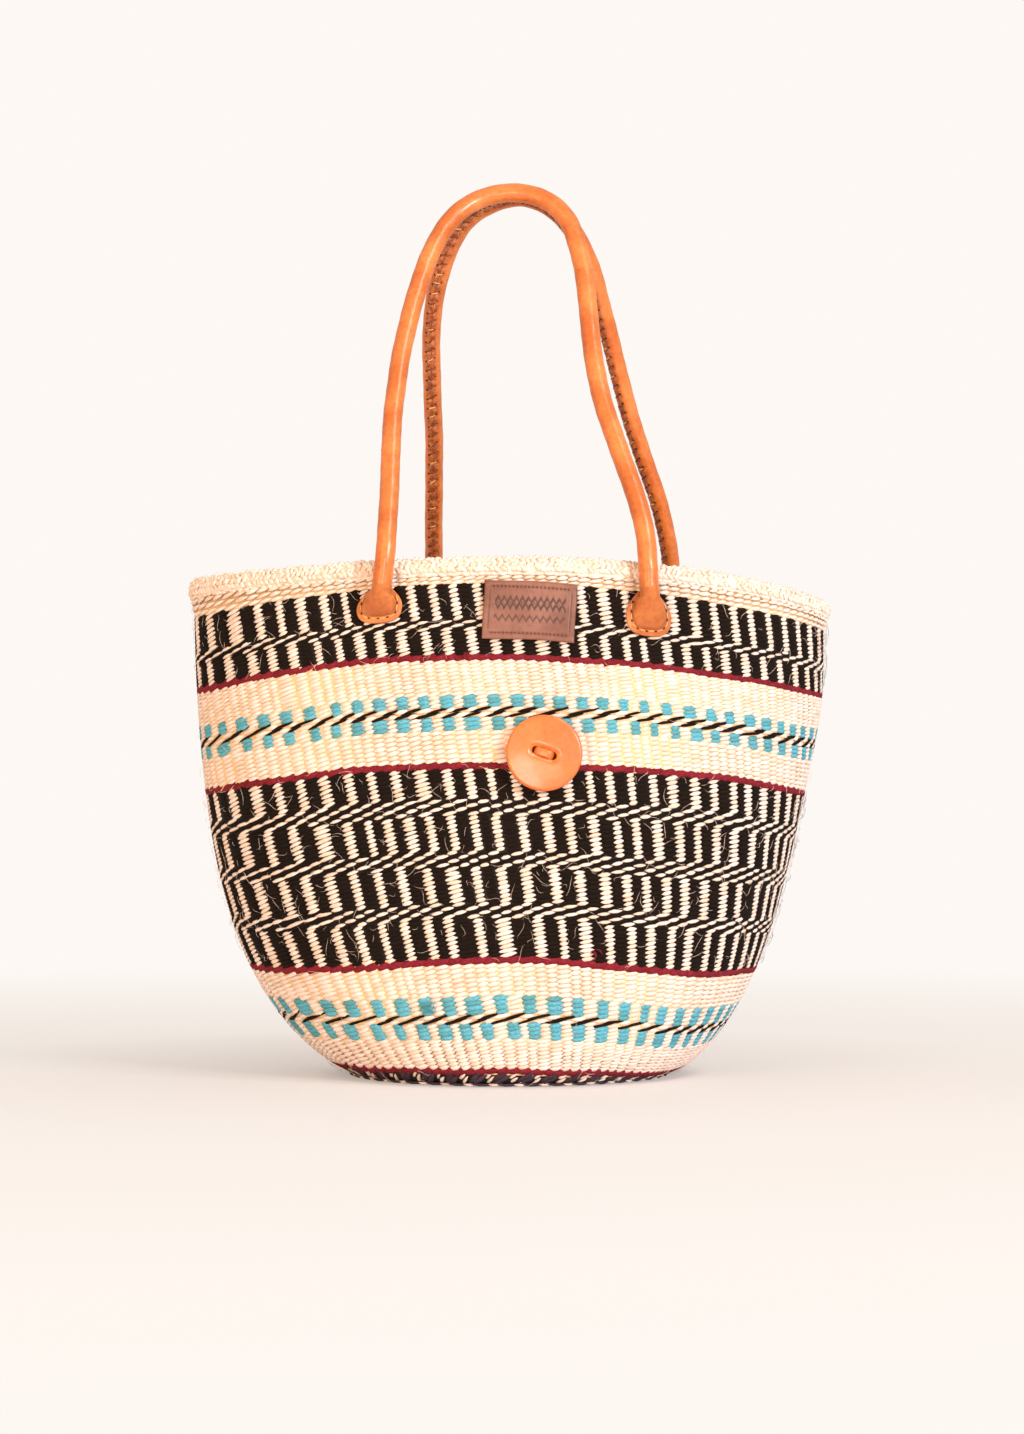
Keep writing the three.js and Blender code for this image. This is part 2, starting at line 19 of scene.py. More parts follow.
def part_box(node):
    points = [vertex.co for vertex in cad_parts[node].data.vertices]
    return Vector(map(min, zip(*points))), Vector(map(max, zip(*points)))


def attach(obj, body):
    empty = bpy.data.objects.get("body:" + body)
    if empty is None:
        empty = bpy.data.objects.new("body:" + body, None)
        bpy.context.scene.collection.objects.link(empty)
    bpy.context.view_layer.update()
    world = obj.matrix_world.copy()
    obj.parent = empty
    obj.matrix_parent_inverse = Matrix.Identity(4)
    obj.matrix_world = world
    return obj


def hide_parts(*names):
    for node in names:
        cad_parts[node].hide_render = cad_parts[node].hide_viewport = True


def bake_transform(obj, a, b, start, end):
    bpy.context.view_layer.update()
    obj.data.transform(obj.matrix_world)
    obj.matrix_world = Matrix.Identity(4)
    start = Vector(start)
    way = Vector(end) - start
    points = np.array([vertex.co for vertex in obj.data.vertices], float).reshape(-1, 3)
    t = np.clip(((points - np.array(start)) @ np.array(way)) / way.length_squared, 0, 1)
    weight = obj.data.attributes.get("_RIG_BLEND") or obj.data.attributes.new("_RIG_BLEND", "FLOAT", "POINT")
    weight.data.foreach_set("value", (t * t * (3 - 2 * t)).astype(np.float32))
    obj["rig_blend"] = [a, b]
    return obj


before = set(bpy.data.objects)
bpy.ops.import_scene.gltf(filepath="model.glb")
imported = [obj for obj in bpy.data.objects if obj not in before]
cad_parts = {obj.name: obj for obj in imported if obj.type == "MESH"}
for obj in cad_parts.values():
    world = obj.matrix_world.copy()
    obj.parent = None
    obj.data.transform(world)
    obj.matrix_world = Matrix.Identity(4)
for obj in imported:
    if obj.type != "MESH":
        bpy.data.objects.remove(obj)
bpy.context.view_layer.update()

mm = 0.001

# %% [markdown]
# ## The camera
#
# The basket is seen from straight in front, from about two metres. The lens is worked out
# from the photograph's size in pixels, and the camera tilts up a little, so that its
# horizon lies below the middle of the picture and upright sides stay almost upright.

# %% Camera
picture_tall_px, horizon_px, focal_px = 1434, 800, 3400


def add_object(name, data):
    thing = bpy.data.objects.new(name, data)
    bpy.context.scene.collection.objects.link(thing)
    return thing


camera = add_object("camera", bpy.data.cameras.new("camera"))
camera.data.lens = focal_px * camera.data.sensor_width / picture_tall_px
tilt = math.atan((horizon_px - picture_tall_px / 2) / focal_px)
camera.location = (1.5 * mm, -2005 * mm, 161 * mm)
camera.rotation_euler = (math.pi / 2 + tilt, 0, 0)
bpy.context.scene.camera = camera
print(f"lens {camera.data.lens:.1f} mm, tilted up {math.degrees(tilt):.1f} degrees")

# %% [markdown]
# ## The shape of the wall
#
# The wall is an oval at every height. It starts round at the base and widens to a long
# oval at the rim, and its ends flare so much that their rows sink: that is why the bands
# of the pattern droop to the left and right. The weave is soft: it rounds in where it
# stands, and its right end has gone slack. One formula gives a point on the outer face
# from an angle and a height. Everything on the wall is laid out flat and carried onto it.

# %% A point on the outer face
wall_height, wall_thickness = 292 * mm, 5 * mm
base_radius, rim_half_width = 100 * mm, 187 * mm
belly_half_depth, rim_half_depth = 117 * mm, 105 * mm
flare_rise, belly_rise = 80 * mm, 30 * mm
side_drop, rim_tilt = 14 * mm, 6 * mm  # both ends sink, and the right one less at the rim
foot_tuck, left_tuck_rise, right_tuck_rise = 8 * mm, 10 * mm, 5 * mm
slack, slack_rise = 8 * mm, 230 * mm


def half_width(rise):
    flared = (1 - np.exp(-rise / flare_rise)) / (1 - np.exp(-wall_height / flare_rise))
    return base_radius + (rim_half_width - base_radius) * flared


def half_depth(rise):
    bellied = (belly_half_depth - base_radius) * (1 - np.exp(-rise / belly_rise))
    return base_radius + bellied - (belly_half_depth - rim_half_depth) * rise / wall_height


def outer_point(angle, rise):
    share, along = rise / wall_height, np.cos(angle)
    right, left = np.maximum(along, 0), np.maximum(-along, 0)
    sunk = side_drop * (1 - (1 - share) ** 3) + rim_tilt * along * share**6
    tuck_rise = right_tuck_rise + (left_tuck_rise - right_tuck_rise) * left**2
    tuck = foot_tuck * np.exp(-rise / tuck_rise)
    sagged = slack * np.sin(math.pi * np.clip(rise / slack_rise, 0, 1)) * right**2
    across = (half_width(rise) - tuck) * along - sagged
    depth = (half_depth(rise) - tuck) * np.sin(angle)
    return np.stack([across, depth, rise - sunk * along**2], -1)


rim_width, base_width = 2 * rim_half_width / mm, 2 * base_radius / mm
print(f"the rim is {rim_width:.0f} mm wide, the base {base_width:.0f} mm")


# %% The way out of the wall
def unit(vectors):
    return vectors / np.linalg.norm(vectors, axis=-1, keepdims=True)


def wall_frame(angle, rise):
    """The unit direction out of the wall and the length of one radian along it."""
    turn, step = math.radians(1), 1 * mm
    around = (outer_point(angle + turn, rise) - outer_point(angle - turn, rise)) / (2 * turn)
    up = outer_point(angle, rise + step) - outer_point(angle, rise - step)
    return unit(np.cross(around, up)), np.linalg.norm(around, axis=-1)


def wall_point(angle, rise, depth):
    """A point under the outer face, or above it where the depth is negative."""
    angle, rise = np.broadcast_arrays(angle, rise)
    return outer_point(angle, rise) - wall_frame(angle, rise)[0] * np.asarray(depth)[..., None]


reach = outer_point(0.0, wall_height)[0]
wall_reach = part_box("woven_basket")[1].x
print(f"rim reaches {reach / mm:.1f} mm, the frame's wall {wall_reach / mm:.1f} mm")

# %% [markdown]
# Stitches are equally long all round, but an oval's angle isn't: it runs slowly round the
# narrow ends. So each row measures its own way round, from the middle of the front, and
# turns a share of that way back into an angle.

# %% The way round a row
front_middle = -math.pi / 2
ring_angles = front_middle + np.linspace(0, 2 * math.pi, 721)


def travelled(points):
    """How far along a line each of its points lies."""
    steps = np.linalg.norm(np.diff(points, axis=0), axis=1)
    return np.concatenate([[0], np.cumsum(steps)])


def even_turns(steps):
    """Angles evenly round a ring."""
    return 2 * math.pi * np.arange(steps) / steps


def way_round(rise):
    """The share of the way round at each of the ring's angles, and the whole way's length."""
    way = travelled(outer_point(ring_angles, rise))
    return way / way[-1], way[-1]


def angle_at(share, shares):
    turns = np.floor(share)
    return np.interp(share - turns, shares, ring_angles) + 2 * math.pi * turns


print(f"way round the rim {way_round(wall_height)[1]:.3f} m, the base {way_round(0.0)[1]:.3f} m")

# %% [markdown]
# ## Colours and materials
#
# Every colour is written as sRGB hex and turned linear by one function. One function adds
# a node with its settings and its links, so that each material below reads as a recipe.

# %% Helpers for materials
def linear(code):
    """An sRGB hex colour as the linear colour that a shader takes."""
    channels = [int(code[i : i + 2], 16) / 255 for i in (1, 3, 5)]
    return [c / 12.92 if c <= 0.04045 else ((c + 0.055) / 1.055) ** 2.4 for c in channels] + [1]


def add_node(tree, kind, inputs=(), **settings):
    """Adds a node. An input is a number, a vector or a colour, or a socket to link from."""
    node = tree.nodes.new("ShaderNode" + kind)
    for name, value in settings.items():
        setattr(node, name, value)
    for name, value in dict(inputs).items():
        if isinstance(value, bpy.types.NodeSocket):
            tree.links.new(value, node.inputs[name])
        else:
            node.inputs[name].default_value = value
    return node


def ramp(tree, factor, *stops):
    """A colour ramp through two stops of place and hex colour."""
    node = add_node(tree, "ValToRGB", {"Fac": factor})
    for element, (place, code) in zip(node.color_ramp.elements, stops):
        element.position = place
        element.color = linear(code)
    return node.outputs["Color"]


def noise(tree, place, size, detail):
    """Noise whose clouds are about so large."""
    inputs = {"Vector": place, "Scale": 1 / size, "Detail": detail}
    return add_node(tree, "TexNoise", inputs).outputs["Fac"]


def compute(tree, operation, *values):
    return add_node(tree, "Math", enumerate(values), operation=operation).outputs[0]


def mixed(tree, factor, first, second, blend="MIX"):
    inputs = {0: factor, 6: first, 7: second}
    return add_node(tree, "Mix", inputs, data_type="RGBA", blend_type=blend).outputs[2]


def new_material(name, **sockets):
    material = bpy.data.materials.new(name)
    material.use_nodes = True
    tree = material.node_tree
    shader = tree.nodes["Principled BSDF"]
    for socket, value in sockets.items():
        shader.inputs[socket.replace("_", " ")].default_value = value
    return material, tree, shader


def finish_material(tree, shader, colour, height, distance, strength=0.6):
    """Links a colour and a relief, whose height is worth a distance in metres."""
    tree.links.new(colour, shader.inputs["Base Color"])
    relief = add_node(tree, "Bump", {"Height": height, "Distance": distance, "Strength": strength})
    tree.links.new(relief.outputs["Normal"], shader.inputs["Normal"])


# %% [markdown]
# **Sisal** is a stiff, pale leaf fibre, rolled into a hard two-ply string. It is cream with
# straw-coloured streaks, a little glossy, and its fibres run along each grain. The pattern
# is drawn on the grain's own UV map, in millimetres: streaks about 3 mm long and a quarter
# of a millimetre wide. A random tint makes one grain a little darker than the next.
# **Wool** is softer and matt: its fibres are short and cross each other.

# %% Yarn materials
def yarn_material(name, pale, dark, streak, bump, shade="#e8e2da", **sockets):
    """A yarn whose fibres run along the grain. Streak is their length and width in mm."""
    material, tree, shader = new_material(name, **sockets)
    place = add_node(tree, "UVMap", uv_map="yarn").outputs["UV"]
    stretch = (1 / streak[0], 1 / streak[1], 1)
    place = add_node(tree, "Mapping", {"Vector": place, "Scale": stretch}).outputs["Vector"]
    fibres = noise(tree, place, 1, 2)
    streaks = ramp(tree, fibres, (0.36, dark), (0.62, pale))
    tint = add_node(tree, "Attribute", attribute_name="tint").outputs["Fac"]
    shades = ramp(tree, tint, (0, shade), (0.7, "#ffffff"))
    colour = mixed(tree, 1.0, streaks, shades, "MULTIPLY")
    finish_material(tree, shader, colour, fibres, bump)
    return material


sisal_look = {"Roughness": 0.6, "streak": (3.0, 0.25), "bump": 0.12 * mm, "shade": "#f2eae0"}
wool_look = {"Roughness": 0.95, "Specular_IOR_Level": 0.2, "streak": (1.2, 0.4), "bump": 0.15 * mm}
yarns = [
    yarn_material("twined sisal", "#fef2f0", "#f3dfcd", **sisal_look),
    yarn_material("black wool", "#20160f", "#110a06", **wool_look),
    yarn_material("maroon wool", "#962c3c", "#651622", **wool_look),
    yarn_material("turquoise wool", "#74c4d8", "#489fba", **wool_look),
    yarn_material("navy wool", "#5a4a57", "#382d3a", **wool_look),
]
SISAL, BLACK, MAROON, TURQUOISE, NAVY = range(len(yarns))
print("yarns:", [material.name for material in yarns])

# %% [markdown]
# The warps hardly show: in the gaps between the grains their straw colour is deepened to an
# orange tan, which is painted shade. Where the wool is black, its fluff fills the gaps, so
# there they are dark.
#
# The handles, tabs and button are **vegetable-tanned cowhide**, tan and waxed. It has pores
# about 0.7 mm apart, soft clouds of darker dye a few centimetres wide, and a soft shine.
# Leather below 279 mm, such as the tabs, is a little darker. Where the hide was wetted and
# pulled round a seam it turned red brown, so an attribute named shade says how much of that
# a place has. On the label and the button the same attribute paints shade into grooves,
# stitch holes and wells.

# %% Gap and leather materials
def plain_fibre(name, pale, dark):
    """Crossed fibres half a millimetre thick, for what lies under the yarn."""
    material, tree, shader = new_material(name, Roughness=0.9)
    place = add_node(tree, "TexCoord").outputs["Object"]
    fibres = noise(tree, place, 0.5 * mm, 1)
    colour = ramp(tree, fibres, (0.35, dark), (0.65, pale))
    finish_material(tree, shader, colour, fibres, 0.1 * mm)
    return material


def leather_material(name, pale, dark, wear_and_painted_shade, pore=0.7 * mm, bump=0.12 * mm, darker_below=-1, **sockets):
    """Dyed cowhide, from pale to dark in clouds. Where shade says so it turns to the dark pair: worn, rough
    hide on the handles, painted shade on the label and the button.
    Below the height named darker_below it is a little darker."""
    material, tree, shader = new_material(name, **sockets)
    place = add_node(tree, "TexCoord").outputs["Object"]
    colour = ramp(tree, noise(tree, place, 22 * mm, 4), (0.38, dark), (0.62, pale))
    grain = noise(tree, place, 2.4 * mm, 5)
    speckle = ramp(tree, grain, (0.3, "#e2cfc0"), (0.55, "#ffffff"))
    colour = mixed(tree, 0.6, colour, speckle, "MULTIPLY")
    height = add_node(tree, "SeparateXYZ", {"Vector": place}).outputs["Z"]
    # a little darker below a given height, fading in over 8 mm above it
    low_darkening = {"Value": height, "From Min": darker_below + 8 * mm, "From Max": darker_below}
    low_darkening = add_node(tree, "MapRange", low_darkening).outputs[0]
    colour = mixed(tree, low_darkening, colour, linear("#dfe3d7"), "MULTIPLY")
    # shade turns the colour to the dark pair: worn hide by the handles' seams, painted shade in the label's
    # grooves and holes and in the button's wells
    shade = add_node(tree, "Attribute", attribute_name="shade").outputs["Fac"]
    wear_and_painted_shade_colour = ramp(tree, grain, (0.4, wear_and_painted_shade[0]), (0.6, wear_and_painted_shade[1]))
    colour = mixed(tree, shade, colour, wear_and_painted_shade_colour)
    pores = add_node(tree, "TexVoronoi", {"Vector": place, "Scale": 1 / pore}, feature="SMOOTH_F1")
    cells = compute(tree, "MULTIPLY", pores.outputs["Distance"], 0.5)
    rough = compute(tree, "MULTIPLY_ADD", shade, 3.0, 1.0)
    lumps = compute(tree, "MULTIPLY_ADD", grain, rough, cells)
    finish_material(tree, shader, colour, lumps, bump, 0.5)
    return material


# %% Fibres, threads and leathers
# the warps' straw colour, deepened to orange tan as painted shade in the gaps between grains
warp_and_gap_shade = plain_fibre("sisal warp", "#f4d8ae", "#e0b47c")
rim_core = plain_fibre("sisal rim core", "#fdf0e2", "#f5e0c4")
fluff = plain_fibre("black wool fluff", "#171210", "#0a0807")
# flat dark grains laid where stitch holes are: painted shade inside the holes
hole_shadow = plain_fibre("inside of a stitch hole", "#4c2613", "#2e150a")
rope = plain_fibre("twisted sisal rope", "#cdb07d", "#a98954")
waxed = {"streak": (2.0, 0.3), "bump": 0.05 * mm}
pale_thread = yarn_material("waxed pale thread", "#f3cf92", "#d9a760", Roughness=0.55, **waxed)
dark_thread = yarn_material("waxed dark thread", "#8a4a26", "#63311a", Roughness=0.5, **waxed)
tan_leather = leather_material(
    "tan cowhide", "#f29048", "#d4702a", ("#864122", "#c06c3a"), darker_below=279 * mm,
    Roughness=0.36, Specular_IOR_Level=0.5, Coat_Weight=0.55, Coat_Roughness=0.24)
# its dark pair is painted shade, for the label's pressed grooves and stitch holes
brown_leather = leather_material(
    "brown cowhide", "#946658", "#7c4f40", ("#35190f", "#452419"), Roughness=0.42)
# its dark pair is painted shade, for the inside of the button's two wells
# the button's thick hide was pressed while wet, so its pores stand out and shine
button_leather = leather_material(
    "pressed tan cowhide", "#ee7722", "#de6817", ("#2c140a", "#4a2410"), 1.6 * mm, 0.5 * mm,
    Roughness=0.38, Specular_IOR_Level=0.1, Coat_Weight=1.0, Coat_IOR=1.75, Coat_Roughness=0.28)
print("leathers:", tan_leather.name, brown_leather.name, button_leather.name)

# %% [markdown]
# ## One grain of yarn
#
# A grain is a spindle: pointed where the strand dives between two warps, full where it
# passes over one. A UV sphere laid on its side already has that shape, with a pole at each
# tip, and only 25 faces, because thirty thousand of them are needed. Each copy gets its
# own cell of a UV map, in which nothing overlaps.

# %% A template for the grains
class Template:
    """A unit spindle along X, with its corners, faces and UV places as arrays."""

    def __init__(self, around, along):
        bm = bmesh.new()
        layer = bm.loops.layers.uv.new("yarn")
        lay_down = Matrix.Rotation(math.pi / 2, 4, "Y")
        bmesh.ops.create_uvsphere(
            bm, u_segments=around, v_segments=along, radius=1, matrix=lay_down, calc_uvs=True)
        loops = [loop for face in bm.faces for loop in face.loops]
        self.corners = np.array([v.co for v in bm.verts])
        self.loops = np.array([loop.vert.index for loop in loops])
        self.places = np.array([loop[layer].uv for loop in loops])
        self.sides = np.array([len(face.verts) for face in bm.faces])
        bm.free()


grain = Template(5, 5)
print(f"a grain has {len(grain.corners)} corners and {len(grain.sides)} faces")


# %% Copies of a template as one mesh
cell_filled, cell_shape = 0.86, 0.6  # filled share of a UV cell, columns to rows of cells
fibres_apart = 400  # mm, so that no two grains show the same fibres


def listed(values, kind=np.float32):
    return np.asarray(values, kind).ravel()


def mesh_of_copies(name, template, corners, yarn, tint, sizes):
    """One mesh of many copies. Sizes are each copy's length and girth in metres."""
    count, per_copy = corners.shape[:2]
    faces, order = len(template.sides), np.arange(count)[:, None]
    mesh = bpy.data.meshes.new(name)
    mesh.vertices.add(count * per_copy)
    mesh.vertices.foreach_set("co", listed(corners))
    mesh.loops.add(count * len(template.loops))
    mesh.loops.foreach_set("vertex_index", listed(template.loops + order * per_copy, np.int32))
    mesh.polygons.add(count * faces)
    starts = np.cumsum(template.sides) - template.sides + order * len(template.loops)
    mesh.polygons.foreach_set("loop_start", listed(starts, np.int32))
    mesh.polygons.foreach_set("material_index", np.repeat(yarn, faces))
    mesh.polygons.foreach_set("use_smooth", np.ones(count * faces, bool))
    mesh.update(calc_edges=True)
    tints = mesh.attributes.new("tint", "FLOAT", "POINT")
    tints.data.foreach_set("value", listed(np.repeat(tint, per_copy)))
    # a map in millimetres for the fibres, then one with a cell of its own for each copy
    around, along = template.places.T
    length, girth = sizes[:, :1] / mm, sizes[:, 1:] / mm
    apart = fibres_apart * tint[:, None]
    fibres = np.stack([along * length + apart, around * girth + apart], -1)
    mesh.uv_layers.new(name="yarn").uv.foreach_set("vector", listed(fibres))
    columns = math.ceil(math.sqrt(count * cell_shape))
    rows = math.ceil(count / columns)
    margin = (1 - cell_filled) / 2
    cell_x = order % columns + margin + cell_filled * along
    cell_y = order // columns + margin + cell_filled * around
    cells = np.stack([cell_x / columns, cell_y / rows], -1)
    mesh.uv_layers.new(name="OFBake").uv.foreach_set("vector", listed(cells))
    return mesh


# %% Pieces of the scene
def add_piece(name, mesh, body, slot, materials, *replaced):
    """Puts a finished mesh into the scene, on its body, in place of the nodes it stands for."""
    for material in materials:
        mesh.materials.append(material)
    piece = add_object(name, mesh)
    if body:
        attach(piece, body)
    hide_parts(*replaced)
    mesh.calc_loop_triangles()
    print(f"{name}: {len(mesh.loop_triangles)} triangles")
    return piece


def smooth_mesh(name, bm):
    mesh = bpy.data.meshes.new(name)
    bm.to_mesh(mesh)
    bm.free()
    mesh.shade_smooth()
    return mesh


def add_solid(name, bm, *place):
    return add_piece(name, smooth_mesh(name, bm), *place)


# %% [markdown]
# Grains, stitches and stray hairs are all bent from that spindle. Sisal is pinched to
# points, wool and thread stay blunt. A grain is arched over its warp, and slanted, because
# the strand climbs while it crosses. Random numbers are drawn in a fixed order.

# %% Many grains
random = np.random.default_rng(7)
tip_power, blunting = 1.4, 0.45  # how a grain tapers, and how much less a blunt one does
girth_per_height = 2.6


class Grains:
    """Spindles of yarn, gathered into one piece, whatever surface they are laid on."""

    def __init__(self, template):
        self.template = template
        self.laid = []

    def shapes(self, length, height, thick, slant, blunt, arch):
        """Local corners of each grain, in metres: along, up and out."""
        sizes = (length, height, thick, slant, blunt)
        length, height, thick, slant, blunt = [np.reshape(size, (-1, 1)) for size in sizes]
        along, up, out = self.template.corners.T
        girth = np.sqrt(np.maximum(1 - along**2, 1e-9))
        taper = (1 - np.minimum(np.abs(along), 1) ** tip_power) ** (1 - blunting * blunt)
        x = along * length / 2
        y = up / girth * taper * height / 2 + x * slant
        z = out / girth * taper * thick / 2
        return x, y, z + arch * (np.cos(along * math.pi / 2) - 0.5)

    def add(self, corners, yarn, length, height):
        """Takes grains in. Yarn and sizes are one value for all of them, or one for each."""
        count = len(corners)
        sizes = [np.full(count, size) for size in (length, girth_per_height * height)]
        self.laid.append((corners, np.full(count, yarn), random.random(count), np.stack(sizes, -1)))

    def piece(self, name, *place):
        parts = [np.concatenate(part) for part in zip(*self.laid)]
        return add_piece(name, mesh_of_copies(name, self.template, *parts), *place)


# %% [markdown]
# ## The pattern, row by row
#
# Twining fixes the pattern. A row has two strands, and warp by warp they take turns to be
# in front, so a row of cream and black alternates. If the next row does the same, upright
# bars grow, one warp wide. If it starts one warp later, the two colours step sideways and
# draw slanting lines. Wool is thicker and softer than sisal, so its columns are wider.
# The bands below run from the rim down. The wall gains warps as it widens, so the
# number of columns round the wall falls from band to band.

# %% Bands
BARS, LINES, THIN, PLAIN, FOOT = "bars", "lines", "thin lines", "plain", "foot"
# name, kind, rows, height of the band in mm, columns round the wall, first and second yarn
bands = [
    ("rim rows", PLAIN, 4, 9.0, 136, SISAL, SISAL),
    ("top bars", BARS, 8, 20.0, 136, BLACK, SISAL),
    ("top lines", LINES, 3, 5.8, 136, BLACK, SISAL),
    ("top lower bars", BARS, 6, 13.3, 136, BLACK, SISAL),
    ("maroon line 1", PLAIN, 1, 3.0, 134, MAROON, MAROON),
    ("cream 1", PLAIN, 9, 20.9, 134, SISAL, SISAL),
    ("turquoise 1", BARS, 3, 7.0, 134, TURQUOISE, SISAL),
    ("black lines 1", THIN, 2, 5.6, 134, BLACK, SISAL),
    ("turquoise 2", BARS, 3, 7.0, 134, TURQUOISE, SISAL),
    ("cream 2", PLAIN, 7, 17.9, 132, SISAL, SISAL),
    ("maroon line 2", PLAIN, 1, 3.0, 132, MAROON, MAROON),
    ("middle bars 1", BARS, 7, 17.0, 130, BLACK, SISAL),
    ("middle lines 1", LINES, 4, 9.0, 130, BLACK, SISAL),
    ("middle bars 2", BARS, 8, 19.4, 128, BLACK, SISAL),
    ("middle lines 2", LINES, 4, 8.8, 128, BLACK, SISAL),
    ("middle bars 3", BARS, 8, 19.2, 124, BLACK, SISAL),
    ("middle lines 3", LINES, 4, 8.8, 122, BLACK, SISAL),
    ("middle bars 4", BARS, 9, 21.2, 120, BLACK, SISAL),
    ("maroon line 3", PLAIN, 1, 3.2, 116, MAROON, MAROON),
    ("cream 3", PLAIN, 7, 18.2, 112, SISAL, SISAL),
    ("turquoise 3", BARS, 4, 10.2, 104, TURQUOISE, SISAL),
    ("black lines 2", THIN, 2, 5.2, 104, BLACK, SISAL),
    ("turquoise 4", BARS, 4, 10.0, 104, TURQUOISE, SISAL),
    ("cream 4", PLAIN, 8, 19.5, 100, SISAL, SISAL),
    ("maroon line 4", PLAIN, 1, 3.0, 98, MAROON, MAROON),
    ("foot", FOOT, 2, 5.2, 84, NAVY, SISAL),
]
print(sum(band[2] for band in bands), "rows,", sum(band[3] for band in bands), "mm tall")

# %% [markdown]
# No two columns are equally wide, and rows wander. Short waves come from the twining, long
# ones from where the weaver beat the rows down harder. For nine heights the list below
# says how much a row strays: how far it lies too high as a whole, then the cosine and sine
# part of one, two, three and four waves round the basket. All waves run a whole number of
# times round, so that the rows meet themselves. At the left end the weaver has spread the
# columns further apart. The soft wall also dents inwards a little between its warps and
# never outwards, so that the leather pieces still lie on it.

# %% Unevenness
bar_lean = 0.055 / wall_height  # the share of the way round that a bar leans in a metre
loose_end, loose_reach, loosened = 0.785, 0.05, 0.6  # shares of the way round, of a width
uneven, wide_ones, wider = 0.11, 0.04, 1.4  # one column in 25 is much wider
wool_wider, sisal_narrower, least_width, most_width = 1.14, 0.86, 0.6, 1.8
dent_deep = 0.45 * mm
# size of the short waves in mm, their number round the basket, and how they move on
short_waves = ((0.35, 5, 40 * mm), (0.21, 12, -23 * mm))
# height in millimetres, then the level and the waves in millimetres
strays = np.array([
    (0.0, -0.2, 0.0, -0.4, 0.0, -0.4, 0.1, -0.3, 0.1, -0.3),
    (7.1, -0.4, -0.1, -0.9, 0.1, -0.8, 0.3, -0.7, 0.3, -0.6),
    (40.2, -3.0, -1.5, -1.8, 0.0, -1.1, 0.7, -0.6, 0.9, -0.8),
    (73.3, -3.1, -1.2, -0.5, 0.4, -0.5, 0.8, -0.7, 0.4, -1.1),
    (179.8, -0.5, 0.3, -0.2, 0.5, -0.2, 0.2, -0.1, -0.4, 0.1),
    (211.0, -0.3, 0.5, 0.1, 0.9, -0.2, 0.6, -0.3, -0.1, -0.1),
    (241.2, -2.0, 0.1, -0.5, 1.2, -0.4, 0.7, -0.4, -0.5, -0.5),
    (281.8, -1.9, 0.4, -0.1, 1.6, 0.0, 1.0, -0.3, -0.5, -0.6),
    (292.0, 0.0, 0.0, 0.0, 0.0, 0.0, 0.0, 0.0, 0.0, 0.0),
])


def wander(share, rise):
    """How far a row strays up or down."""
    turn = 2 * math.pi * share
    level, *sizes = [np.interp(rise / mm, strays[:, 0], column) for column in strays[:, 1:].T]
    stray = level
    for size, waves, climb in short_waves:
        stray = stray + size * np.sin(waves * turn + rise / climb)
    for waves, (cosine, sine) in enumerate(zip(sizes[::2], sizes[1::2]), 1):
        stray = stray + cosine * np.cos(waves * turn) + sine * np.sin(waves * turn)
    return stray * mm


def dent(share, rise):
    """How far the soft wall sinks inwards."""
    turn = 2 * math.pi * share
    waves = np.sin(3 * turn + rise / (60 * mm)) * np.sin(7 * turn - rise / (45 * mm))
    return dent_deep * (1 + waves)


# %% Uneven columns
def fade(distance, reach, power=2):
    """One at no distance, and fading to nothing beyond a reach."""
    return np.exp(-((distance / reach) ** power))


def columns(count, phase, even):
    """The middle and width of each column, as shares of the way round."""
    order = np.arange(count)
    widths = 1 + uneven * random.standard_normal(count)
    widths[random.random(count) < wide_ones] *= wider
    if not even:
        widths *= np.where((order + phase) % 2 == 1, wool_wider, sisal_narrower)
    widths = np.clip(widths, least_width, most_width)
    widths *= 1 + loosened * fade(order / count - loose_end, loose_reach)
    edges = np.concatenate([[0], np.cumsum(widths)]) / widths.sum()
    return (edges[:-1] + edges[1:]) / 2, np.diff(edges)


print(f"at the rim a column is {way_round(wall_height)[1] / bands[0][4] / mm:.1f} mm wide")

# %% [markdown]
# ## Laying the grains
#
# Each row lays its grains flat first: along the row, up the wall and out of it. Then the
# row is bent onto the wall. On the inside each grain is the other strand of the pair, so
# the colours change places. Every grain slants up to the right, and in the slanting lines
# the thin wool reaches on under its neighbour. The last rows below the rim lie over the
# cut ends of the warps, so there the wall is thicker.

# %% A row of grains
# thickness in mm, then slant, length in columns and height in rows, of sisal and of wool
grain_looks = {
    BARS: (1.9, (0.24, 1.3, 1.32), (0.13, 1.22, 1.5)),
    LINES: (1.7, (0.19, 1.28, 1.24), (0.26, 2.2, 0.68)),
    THIN: (1.7, (0.19, 1.26, 1.22), (0.25, 2.3, 0.76)),
    PLAIN: (1.9, (0.19, 1.22, 1.34), (0.21, 1.75, 1.55)),
    FOOT: (2.6, (0.7, 0.85, 0.9), (0.75, 1.9, 1.6)),
}
grain_jitter, slant_jitter, wool_blunt, sisal_blunt = 0.06, 3, 1.0, 0.3
grain_arch, peak_depth, lowest = 0.9 * mm, 0.45 * mm, 0.05 * mm
swell_start, swell_rise, swell_out = 282 * mm, 5 * mm, 1.5 * mm


def grain_sizes(kind, yarn, width, pitch):
    """Length, height, thickness, slant and bluntness of the grains of one row."""
    wool = yarn != SISAL
    jitter = 1 + grain_jitter * random.standard_normal((4, len(yarn)))
    thick, sisal_shape, wool_shape = grain_looks[kind]
    lean, long, tall = [np.where(wool, w, s) for s, w in zip(sisal_shape, wool_shape)]
    slant = lean * (1 + slant_jitter * (jitter[3] - 1))
    thick = thick * mm * jitter[2]
    blunt = np.where(wool, wool_blunt, sisal_blunt)
    return width * long * jitter[0], pitch * tall * jitter[1], thick, slant, blunt


def swell(rise):
    """How far the rows under the rim lie further out."""
    share = np.clip((rise - swell_start) / swell_rise, 0, 1)
    return swell_out * share**2 * (3 - 2 * share)


